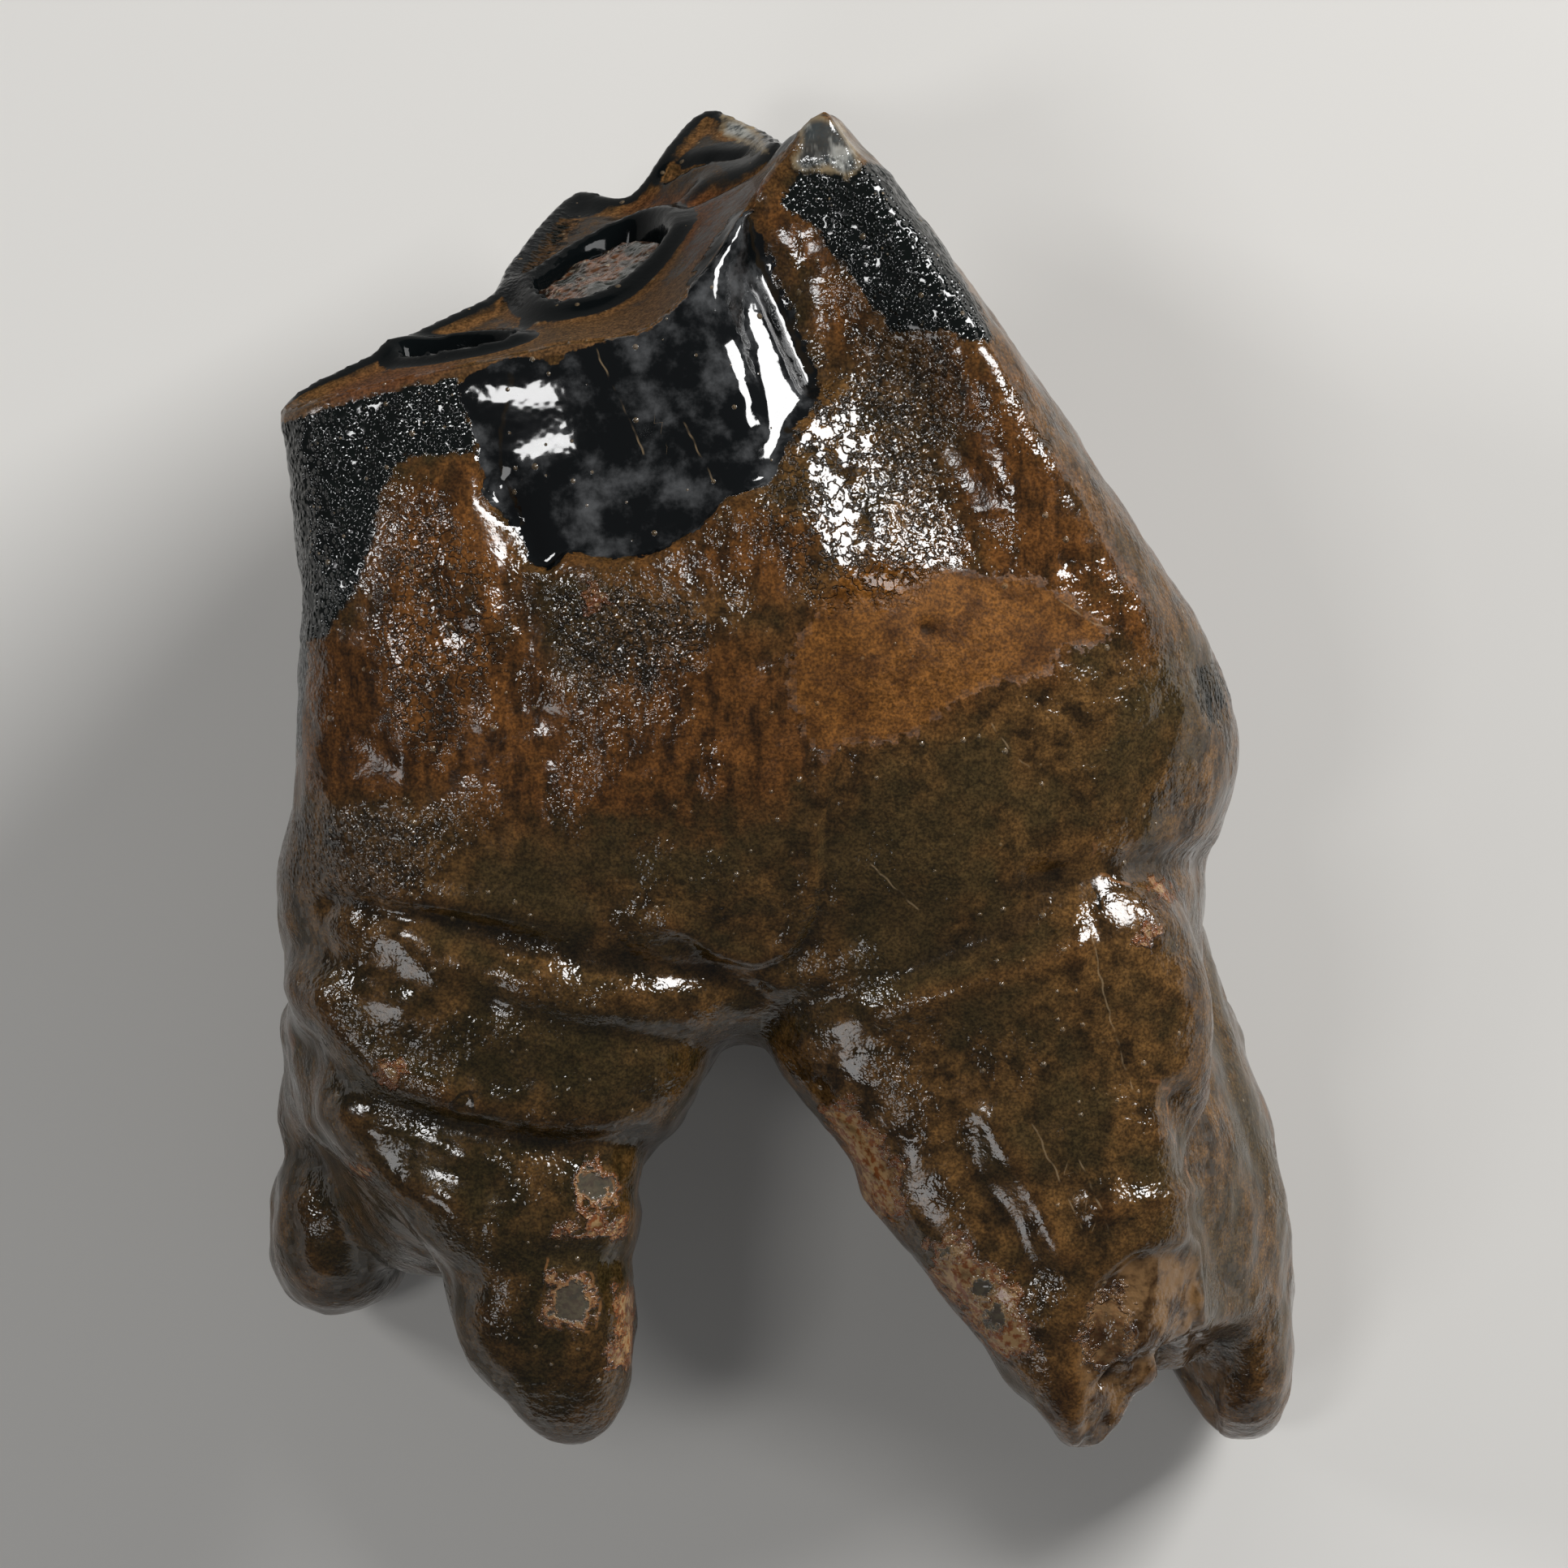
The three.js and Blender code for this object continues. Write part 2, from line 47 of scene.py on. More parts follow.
# Curves and fields that the pieces share.
def through(knots, column=1):
    # Piecewise cubic through knots: the slope at a knot is the mean slope of its neighbours, level past its ends.
    table = np.array(sorted(knots), float)
    at, value = table[:, 0], table[:, column]
    before = np.maximum(np.arange(len(at)) - 1, 0)
    after = np.minimum(np.arange(len(at)) + 1, len(at) - 1)
    slope = (value[after] - value[before]) / (at[after] - at[before])

    def curve(where):
        where = np.clip(np.asarray(where, float), at[0], at[-1])
        i = np.clip(np.searchsorted(at, where, side="right") - 1, 0, len(at) - 2)
        step = at[i + 1] - at[i]
        t = (where - at[i]) / step
        rest = 1 - t
        held = value[i] * (1 + 2 * t) * rest**2 + value[i + 1] * (3 - 2 * t) * t**2
        return held + step * t * rest * (slope[i] * rest - slope[i + 1] * t)

    return curve


def smoothStep(value, low, high):
    # 0 below low, 1 above high, and three t squared less two t cubed between them.
    t = np.clip((value - low) / (high - low), 0, 1)
    return t * t * (3 - 2 * t)


def distanceTo(path, x, y):
    # Shortest distance to a path of straight stretches.
    nearest = np.full(np.broadcast(x, y).shape, np.inf)
    for (ax, ay), (bx, by) in zip(path[:-1], path[1:]):
        dx, dy = bx - ax, by - ay
        t = np.clip(((x - ax) * dx + (y - ay) * dy) / (dx * dx + dy * dy), 0, 1)
        nearest = np.minimum(nearest, np.hypot(x - ax - t * dx, y - ay - t * dy))
    return nearest


def insideOf(outline, x, y):
    # Signed distance to a closed outline, positive inside it, with crossings counted for the side.
    closed = list(outline) + [outline[0]]
    inside = np.zeros(np.broadcast(x, y).shape, bool)
    for (ax, ay), (bx, by) in zip(closed[:-1], closed[1:]):
        if ay != by:
            inside ^= ((ay > y) != (by > y)) & (x < (bx - ax) * (y - ay) / (by - ay) + ax)
    return np.where(inside, 1, -1) * distanceTo(closed, x, y)


def bell(path, width, x, y):
    # Height of a stroke's section, 1 on its path: e to the minus square of distance over width.
    return np.exp(-((distanceTo(path, x, y) / width) ** 2))


grainNumbers = 4096  # how many random numbers a grain draws, and the primes that spread them over the lattice
grainPrimes = np.array([73856093, 19349663, 83492791])


def grain(points, size, seed):
    # Smooth random field, -1 to 1: random numbers on a cubic lattice of that size, blended between its corners.
    table = np.random.default_rng(seed).uniform(-1, 1, grainNumbers)
    spot = points / size
    cell = np.floor(spot).astype(np.int64)
    t = spot - cell
    t = t * t * (3 - 2 * t)
    total = np.zeros(len(points))
    for corner in product((0, 1), repeat=3):
        a, b, c = ((cell + corner) * grainPrimes).T
        index = (a ^ b ^ c) & (grainNumbers - 1)
        total += np.prod(np.where(corner, t, 1 - t), axis=1) * table[index]
    return total


def roughness(points, size, seed, octaves):
    # Sum of grains, each half the size and half the height of the one before.
    return sum(grain(points, size / 2**i, seed + i) / 2**i for i in range(octaves))


# The crown's outline at any level is a closed curve through these rails, in order round the tooth.
# Each is an edge, rib or hollow that runs up the crown, with knots (level y, x, z).
rails = {
    "rearCorner": [(-16, -24.5, 38), (-8, -26, 41.2), (0, -26.7, 43), (10, -26.7, 44.2), (22, -27.8, 44.2)],
    "rearSide": [
        (-16, -29.2, 30), (-6, -29.6, 33), (0, -28.8, 35), (6, -28.5, 36.4), (12, -28, 38),
        (22, -29.1, 40.8),
    ],
    "rearWing": [(-16, -28.6, 22), (-6, -29.2, 23), (0, -28.2, 24), (10, -27.4, 29), (25, -24.6, 38.4)],
    "rearHollow": [(-16, -26, 13), (0, -27, 15), (12, -24.5, 21), (28.5, -17.6, 33)],
    "rearCusp": [(-16, -20.5, 6.5), (0, -22.5, 7), (12, -21, 11.5), (31, -16.2, 26)],
    "rearCuspTop": [
        (-16, -12, 3), (0, -12.5, 1), (7, -12.5, -0.3), (16, -12.8, 3), (26, -12.8, 10),
        (36, -12.6, 17),
    ],
    "valleyWall": [
        (-16, -2, 4), (0, -2.4, 3.2), (8, -2.8, 3.6), (18, -4.8, 8), (28, -7.4, 15), (37, -9.4, 20.6),
    ],
    "frontCuspTop": [
        (-16, 8, 3), (0, 8.5, 1), (8, 7.4, -0.3), (18, 3.8, 2.6), (28, -0.6, 8.8), (40, -5, 15.6),
    ],
    "frontCusp": [(-16, 17.5, 6.5), (0, 19.4, 6.5), (10, 17, 8.5), (24, 8.6, 13.5), (40, -1.9, 19.6)],
    "frontHollow": [(-16, 23.4, 13), (0, 25, 15), (10, 22.6, 17), (24, 12.6, 23), (38, 0, 31)],
    "frontSide": [
        (-16, 25.6, 23), (-7, 25, 24), (1, 26.8, 27), (6, 26.2, 30), (12, 22.8, 32.8),
        (24, 14.7, 36), (30, 10.2, 37.2), (38.6, 3.2, 38.2),
    ],
    "frontCorner": [
        (-16, 23.6, 32), (-7, 23.2, 33.6), (2, 24.9, 36.4), (10, 21.7, 40.2), (24, 13.6, 42.6),
        (30, 9.3, 42.9), (38.6, 2.9, 42),
    ],
    "frontColumn": [
        (-16, 19, 37.5), (-6, 19.5, 40), (4, 20, 42), (14, 15.5, 44), (26, 10, 45.2), (38.4, 2.7, 43.8),
    ],
    "columnTrough": [
        (-16, 13, 39), (-4, 14.5, 42.8), (8, 13.6, 44.6), (20, 8, 44.4), (30, 4.2, 44.4), (38, 1.8, 43.8),
    ],
    "styleGroove": [
        (-16, 7, 39), (-4, 9, 44), (8, 8.4, 46.4), (16, 4.8, 45.9), (26, 1.8, 44.2), (35, -0.9, 43.6),
    ],
    "middleRib": [(-16, 0, 37), (-6, 2, 43.6), (6, 2, 47.6), (18, -0.8, 48), (32, -4.4, 45.8)],
    "cheekMiddle": [(-16, -9, 38.6), (-6, -8, 43.9), (6, -9, 47), (16, -10, 47.2), (28, -12.4, 46)],
    "cheekRear": [(-16, -17, 39.4), (-6, -18, 43.6), (6, -19, 46), (14, -19.5, 46), (25, -21, 45.8)],
}
crown = {
    "columns": 540,
    "wallSteps": 200,
    "wallSpacing": 1.25,  # above 1 the levels are closer at the bottom
    "capSteps": 110,
    "bottom": -15.8,
    "bottomRound": 3.6,
    "middle": (-2, 24),  # x and z of the roof between the roots
    "capMiddle": (-9, 33),
    "rimEnamel": 1.1,  # width of the enamel that rims the chewing surface
    "rimHeight": 0.3,
    "dish": 0.55,  # how far the dentine is worn below the enamel
    "dishFrom": (0.5, 2.2),  # how far in from the rim the dish begins and is whole
    "ridgeShares": (0.4, 0.75),  # where a ring's ridge stands and how wide it is, as shares of the ring
    "drop": 0.5,  # half the width of the step down into a pocket
    "cheekEnamel": 0.9,  # how much less enamel shows at the cheek edge
    "pocketPoints": 40,
    "pocketPower": 0.8,  # below 1 the pockets are blunter
    "rimRounds": 60,
    "rimShare": 0.35,
}
# How high the chewing surface stands along X at its cheek edge and at its tongue edge.
wear = {
    "cheekZ": 45.4,
    "cheekEdge": [
        (-30, 19.8), (-27, 21.6), (-19.5, 23.8), (-13.7, 25), (-8, 26.4), (-4.6, 29.6),
        (-2, 33.1), (1, 37.5), (2.2, 38.5), (5, 38),
    ],
    "tongueZ": 17,
    "tongueEdge": [
        (-30, 28.8), (-20, 33), (-13, 35.6), (-10, 36.9), (-7.5, 38.6), (-5, 40.2),
        (-3.4, 40.4), (-1, 39.9), (3, 39),
    ],
}
# Strokes on the chewing surface: path of (x, z), depth and width.
valleys = [
    ([(-11.6, 6), (-10.2, 16), (-9, 21), (-7, 25)], 0.9, 1.5),
    ([(6, 31), (-1, 31), (-4.6, 29)], 1.0, 1.1),
    ([(-6.8, 20.6), (-4.6, 22.6), (-2.6, 24.4)], 0.9, 0.45),
]
# Pockets of the chewing surface, each a pointed oval with an enamel ring that stands proud of the dentine.
pockets = {
    "middle": {
        "x": -10.8, "z": 32.6, "halfX": 4.9, "halfZ": 6.7, "lean": -14,
        "ring": 1.3, "ridge": 1.0, "depth": 4.5, "fill": -0.6,
    },
    "rear": {
        "x": -19.2, "z": 39.4, "halfX": 4.6, "halfZ": 1.7, "lean": -24,
        "ring": 0.8, "ridge": 0.55, "depth": 3.2, "fill": -1.3,
    },
}

railX = [through(knots, 1) for knots in rails.values()]
railZ = [through(knots, 2) for knots in rails.values()]
cheekEdge = through(wear["cheekEdge"])
tongueEdge = through(wear["tongueEdge"])


def wallPoint(around, level):
    # Closed Catmull-Rom blend of four neighbouring rails, at a share of the way round and a level.
    at = (around % 1) * len(rails)
    first = np.floor(at).astype(int)
    t = at - first
    allX = np.array([rail(level) for rail in railX])
    allZ = np.array([rail(level) for rail in railZ])
    column = np.arange(len(at))

    def blend(table):
        p, q, r, s = (table[(first + k) % len(rails), column] for k in (-1, 0, 1, 2))
        return q + 0.5 * t * (r - p + t * (2 * p - 5 * q + 4 * r - s + t * (3 * (q - r) + s - p)))

    return blend(allX), blend(allZ)


def wornLevel(x, z):
    # Straight line in z from the cheek edge's height to the tongue edge's, less the valleys.
    share = (wear["cheekZ"] - z) / (wear["cheekZ"] - wear["tongueZ"])
    level = cheekEdge(x) * (1 - share) + tongueEdge(x) * share
    for path, depth, width in valleys:
        level = level - depth * bell(path, width, x, z)
    return level


# The rim is where wall and worn surface meet: each column's level closes in on it step by step.
around = np.arange(crown["columns"]) / crown["columns"]
rimY = np.full(crown["columns"], 30.0)
for _ in range(crown["rimRounds"]):
    rimY += crown["rimShare"] * (wornLevel(*wallPoint(around, rimY)) - rimY)
rimX, rimZ = wallPoint(around, rimY)
rimOutline = list(zip(rimX[::4], rimZ[::4]))


def pocketOutline(pocket):
    # Pointed oval: x is the cosine of the way round, and z is one less x squared, to a power, on either side.
    count = crown["pocketPoints"]
    u = np.cos(np.linspace(0, 2 * np.pi, count, endpoint=False))
    side = np.where(np.arange(count) < count / 2, 1, -1)
    v = side * (1 - u**2) ** crown["pocketPower"]
    turn = math.radians(pocket["lean"])
    x, z = u * pocket["halfX"], v * pocket["halfZ"]
    return list(zip(
        pocket["x"] + x * math.cos(turn) + z * math.sin(turn),
        pocket["z"] - x * math.sin(turn) + z * math.cos(turn),
    ))


pocketOutlines = {name: pocketOutline(pocket) for name, pocket in pockets.items()}


def chewingFields(x, z):
    # Signed distances in plan: inside the rim, and inside each pocket's outline.
    return insideOf(rimOutline, x, z), {name: insideOf(outline, x, z) for name, outline in pocketOutlines.items()}


def chewingLevel(x, z):
    # Worn level, with dished dentine, a low enamel rim, and enamel rings round pockets that drop inside them.
    rim, inPocket = chewingFields(x, z)
    level = wornLevel(x, z) - crown["dish"] * smoothStep(rim, *crown["dishFrom"])
    level = level + crown["rimHeight"] * np.exp(-((rim / crown["rimEnamel"]) ** 2)) * smoothStep(rim, 0, 0.5)
    for name, pocket in pockets.items():
        inside = inPocket[name]
        ridgeAt, ridgeWidth = (share * pocket["ring"] for share in crown["ridgeShares"])
        level = level + pocket["ridge"] * np.exp(-(((inside - ridgeAt) / ridgeWidth) ** 2))
        edge = pocket["ring"]
        level = level - pocket["depth"] * smoothStep(inside, edge - crown["drop"], edge + crown["drop"])
    return level


def gridFaces(rows, columns):
    # Quads of a grid that closes round its columns.
    row, column = np.meshgrid(np.arange(rows - 1), np.arange(columns), indexing="ij")
    right = (column + 1) % columns
    near, far = row * columns, (row + 1) * columns
    return np.stack([near + column, near + right, far + right, far + column], -1).reshape(-1, 4)


def crownGrid():
    # Wall: levels spaced by share to a power, drawn in to the roof below. Cap: straight in from rim to middle.
    rows = []
    for share in np.linspace(0, 1, crown["wallSteps"]):
        level = crown["bottom"] + (rimY - crown["bottom"]) * share ** crown["wallSpacing"]
        x, z = wallPoint(around, level)
        reach = np.sqrt(1 - (1 - np.minimum((level - crown["bottom"]) / crown["bottomRound"], 1)) ** 2)
        middleX, middleZ = crown["middle"]
        rows.append(np.stack([middleX + (x - middleX) * reach, level, middleZ + (z - middleZ) * reach], -1))
    for inward in np.linspace(0, 1, crown["capSteps"])[1:]:
        x = rimX + (crown["capMiddle"][0] - rimX) * inward
        z = rimZ + (crown["capMiddle"][1] - rimZ) * inward
        rows.append(np.stack([x, chewingLevel(x, z), z], -1))
    points = np.array(rows)
    return points.reshape(-1, 3), gridFaces(len(rows), crown["columns"])


# Each root is a column with knots (level y, value) from the crown down to its tip.
roots = {
    "rear_cheek": {
        "x": [
            (-2, -13), (-9, -15), (-14, -15.4), (-18, -16.4), (-21, -16.9), (-24, -16.4), (-27, -15.3),
            (-30, -14.6), (-33, -14), (-36, -13.2), (-39.2, -12.4),
        ],
        "z": [(-2, 31), (-18, 30.5), (-30, 29.5), (-39.2, 28)],
        "halfX": [
            (-2, 10), (-9, 13.6), (-14, 13.4), (-18, 11.4), (-21, 9.7), (-24, 7.8), (-27, 6.3),
            (-30, 5.5), (-33, 5.1), (-36, 4.3), (-39.2, 3.4),
        ],
        "halfZ": [(-2, 8), (-9, 11.6), (-14, 10.8), (-20, 9.2), (-28, 7.6), (-39.2, 5)],
        "rings": 0.024, "squareness": 3,
    },
    "rear_tongue": {
        "x": [(-2, -17), (-9, -21.6), (-14, -24), (-20, -25.6), (-26, -26.8), (-32.6, -27.6)],
        "z": [(-2, 14), (-16, 12), (-26, 9.4), (-32.6, 8.3)],
        "halfX": [(-2, 5.4), (-9, 6.4), (-14, 5.9), (-20, 4.9), (-26, 4.5), (-32.6, 4.1)],
        "halfZ": [(-2, 7), (-9, 8.8), (-16, 10), (-22, 10), (-28, 9.4), (-32.6, 8.6)],
        "rings": 0.024, "squareness": 2.3,
    },
    "front_cheek": {
        "x": [(-2, 10), (-16, 12.2), (-20, 13.5), (-24, 14.7), (-28, 15.9), (-32.8, 17.3), (-39.4, 17.6)],
        "z": [(-2, 32), (-18, 32), (-39.4, 31.5)],
        "halfX": [
            (-2, 10), (-9, 13), (-16, 12.9), (-20, 11), (-24, 9.8), (-28, 8.3), (-32.8, 6),
            (-36, 3.7), (-39.4, 2),
        ],
        "halfZ": [(-2, 8), (-9, 10.4), (-18, 8.2), (-28, 6.6), (-39.4, 3.6)],
        "rings": 0.01, "squareness": 2.8,
    },
    "front_tongue": {
        "x": [(-2, 14), (-8, 18.4), (-12, 21), (-18, 23.6), (-26, 26.2), (-34, 27.2), (-40.4, 28.3)],
        "z": [(-2, 13.5), (-18, 12.6), (-30, 10.6), (-40.4, 8)],
        "halfX": [(-2, 5.4), (-8, 6.6), (-12, 5.8), (-18, 5.3), (-26, 4.6), (-34, 3.9), (-40.4, 2.9)],
        "halfZ": [(-2, 6.5), (-8, 8.6), (-13, 10), (-20, 11.5), (-30, 10.8), (-40.4, 7.6)],
        "rings": 0.01, "squareness": 2.3,
    },
}
webs = {
    "rear": {
        "joins": ("rear_cheek", "rear_tongue"), "tip": -30,
        "half": [(-2, 6), (-14, 8), (-18, 7.2), (-23, 5.8), (-30, 4.6)],
        "shift": [(-2, -0.5), (-14, -3), (-18, -2.2), (-23, -1.2), (-30, -0.2)],
    },
    "front": {
        "joins": ("front_cheek", "front_tongue"), "tip": -35.4,
        "half": [(-2, 6), (-14, 6.4), (-24, 5.6), (-35.4, 4.4)],
        "shift": [(-2, 0.5), (-14, 2), (-24, 2.4), (-35.4, 1.8)],
    },
}
rootGrid = {
    "columns": 96, "steps": 110, "tipRound": 5, "tipSquareness": 2.2,
    "ringPitch": 7, "webSquareness": 4, "webTaper": 0.4, "spacing": 1.1,
}


def squared(angle, squareness):
    # Cosine and sine drawn out to a superellipse.
    c, s = np.cos(angle), np.sin(angle)
    reach = (np.abs(c) ** squareness + np.abs(s) ** squareness) ** (-1 / squareness)
    return c * reach, s * reach


def columnGrid(top, tip, section):
    # Closed loft down Y through section(angle, level), its tip rounded as a superellipse.
    angle = np.arange(rootGrid["columns"]) * 2 * np.pi / rootGrid["columns"]
    angle, share = np.meshgrid(angle, np.linspace(0, 1, rootGrid["steps"]))
    level = top + (tip - top) * np.sin(share * np.pi / 2) ** rootGrid["spacing"]
    power = rootGrid["tipSquareness"]
    rounding = (1 - (1 - np.clip((level - tip) / rootGrid["tipRound"], 0, 1)) ** power) ** (1 / power)
    rounding[0] = 0
    middleX, middleZ, x, z = section(angle, level)
    points = np.stack([middleX + x * rounding, level, middleZ + z * rounding], -1)
    return points.reshape(-1, 3), gridFaces(*angle.shape)


def rootColumn(root):
    # Superellipse section whose half widths follow the knots and swell by a sine of the level.
    x, z, halfX, halfZ = (through(root[key]) for key in ("x", "z", "halfX", "halfZ"))

    def section(angle, level):
        swell = 1 + root["rings"] * np.sin(2 * np.pi * level / rootGrid["ringPitch"])
        c, s = squared(angle, root["squareness"])
        return x(level), z(level), c * halfX(level) * swell, s * halfZ(level) * swell

    return columnGrid(root["x"][0][0], root["x"][-1][0], section)


def webColumn(web):
    # Boxy oval from one root's middle to the other's, a little thicker towards the cheek.
    cheek, tongue = (roots[name] for name in web["joins"])
    curves = [through(root[key]) for root in (cheek, tongue) for key in ("x", "z")]
    half, shift = through(web["half"]), through(web["shift"])

    def section(angle, level):
        cheekX, cheekZ, tongueX, tongueZ = (curve(level) for curve in curves)
        spanX, spanZ = (cheekX - tongueX) / 2, (cheekZ - tongueZ) / 2
        c, along = squared(angle, rootGrid["webSquareness"])
        across = (shift(level) + c * half(level) * (1 + rootGrid["webTaper"] * along)) / np.hypot(spanX, spanZ)
        return (
            (cheekX + tongueX) / 2, (cheekZ + tongueZ) / 2,
            along * spanX + across * spanZ, along * spanZ - across * spanX,
        )

    return columnGrid(cheek["x"][0][0], web["tip"], section)


# The skin: every grid joined, made one surface, smoothed where the pieces meet, and given its relief.
skin = {
    "voxel": 0.43,  # mm between the points of the surface, before the stretch
    "stretch": (0.81, 1.1),  # how much finer it is at the roots and at the cusps
    "stretchLevels": (-2, 24),
    "neckLevels": (-6, 3),  # between them the smoothing of neck and roots gives way to the crown's
    "junctionRounds": 70,
    "crownRounds": 5,
    "eye": 580.0,  # the cheek side's layout is drawn flat, as seen from this height
    "layoutLevel": 30.0,
    "chewingFrom": 15,  # level above which a point can be on the chewing surface
    "topDepth": 0.55,  # mm below that surface at which a point no longer counts as on it
    "turnSlope": 12,  # how fast an area fades where the skin turns away
    "fieldReach": 3.0,  # mm from an area's edge to which its field is worked out
    "bulgeRounds": 14,  # how wide a bulge or hollow is that takes the paler painted highlight or the darker painted shade
}


def meshObject(name, points, faces):
    mesh = bpy.data.meshes.new(name)
    mesh.from_pydata(points.tolist(), [], faces.tolist())
    made = bpy.data.objects.new(name, mesh)
    bpy.context.scene.collection.objects.link(made)
    return made


def toRow(points):
    return (points + rowShift) * mm


stretchLevels = np.linspace(-60, 60, 1201)
rootScale, cuspScale = skin["stretch"]
stretchScale = rootScale + (cuspScale - rootScale) * smoothStep(stretchLevels, *skin["stretchLevels"])
levelStep = 0.1
stretchClimb = np.cumsum(stretchScale) * levelStep


def stretched(points):
    # Each level is scaled by its own share and stacked on the ones below it.
    scale = np.interp(points[:, 1], stretchLevels, stretchScale)
    climb = np.interp(points[:, 1], stretchLevels, stretchClimb)
    return np.stack([points[:, 0] * scale, climb, points[:, 2] * scale], -1)


def unstretched(points):
    # The way back from stretched.
    level = np.interp(points[:, 1], stretchClimb, stretchLevels)
    scale = np.interp(level, stretchLevels, stretchScale)
    return np.stack([points[:, 0] / scale, level, points[:, 2] / scale], -1)


def voxelSurface(grids, size):
    # One closed surface round all the grids, as quads that are finer where the stretch is greater.
    start, points, faces = 0, [], []
    for gridPoints, gridQuads in grids:
        points.append(gridPoints)
        faces.append(gridQuads + start)
        start += len(gridPoints)
    rough = meshObject("rough", stretched(np.concatenate(points)) * mm, np.concatenate(faces))
    remesh = rough.modifiers.new("remesh", "REMESH")
    remesh.mode = "VOXEL"
    remesh.voxel_size = size * mm
    finished = rough.evaluated_get(bpy.context.evaluated_depsgraph_get())
    made = finished.to_mesh()

    def read(items, label, width, columns, kind):
        values = np.empty(len(items) * width, kind)
        items.foreach_get(label, values)
        return values.reshape(-1, columns)

    found = read(made.vertices, "co", 3, 3, float)
    quads = read(made.loops, "vertex_index", 1, 4, int)
    edges = read(made.edges, "vertices", 2, 2, int)
    finished.to_mesh_clear()
    bpy.data.objects.remove(rough)
    return unstretched(found / mm), quads, edges


def neighbourMean(values, edges):
    # Mean of the values at the other ends of a point's edges.
    a, b = edges.T
    count = np.bincount(edges.ravel(), minlength=len(values))
    sums = [np.bincount(a, column[b], len(values)) + np.bincount(b, column[a], len(values)) for column in values.T]
    return np.stack(sums, -1) / count[:, None]


def relax(values, edges, rounds, share):
    # Each round goes half way to the neighbours' mean and a little less back, which smooths without shrinking.
    there, back = 0.5, 0.48
    share = np.broadcast_to(share, len(values))[:, None]
    for _ in range(rounds):
        values = values + there * share * (neighbourMean(values, edges) - values)
        values = values - back * share * (neighbourMean(values, edges) - values)
    return values


def pointNormals(points, quads):
    # Cross product of each quad's diagonals, summed at its corners and made unit length.
    cross = np.cross(points[quads[:, 2]] - points[quads[:, 0]], points[quads[:, 3]] - points[quads[:, 1]])
    total = np.stack(
        [sum(np.bincount(quads[:, k], cross[:, axis], len(points)) for k in range(4)) for axis in range(3)], -1
    )
    return total / np.linalg.norm(total, axis=1, keepdims=True)


grids = [crownGrid(), *map(rootColumn, roots.values()), *map(webColumn, webs.values())]
points, quads, edges = voxelSurface(grids, skin["voxel"])
print("skin surface:", len(points), "points")
neck = 1 - smoothStep(points[:, 1], *skin["neckLevels"])
points = relax(points, edges, skin["junctionRounds"], neck)
points = relax(points, edges, skin["crownRounds"], 1 - neck)
normals = pointNormals(points, quads)
print("skin smoothed")


def drawn(*tenths):
    # Path or outline on the flat layout, from tenths of a millimetre: x and y in turn.
    return [(x / 10, y / 10) for x, y in zip(tenths[::2], tenths[1::2])]


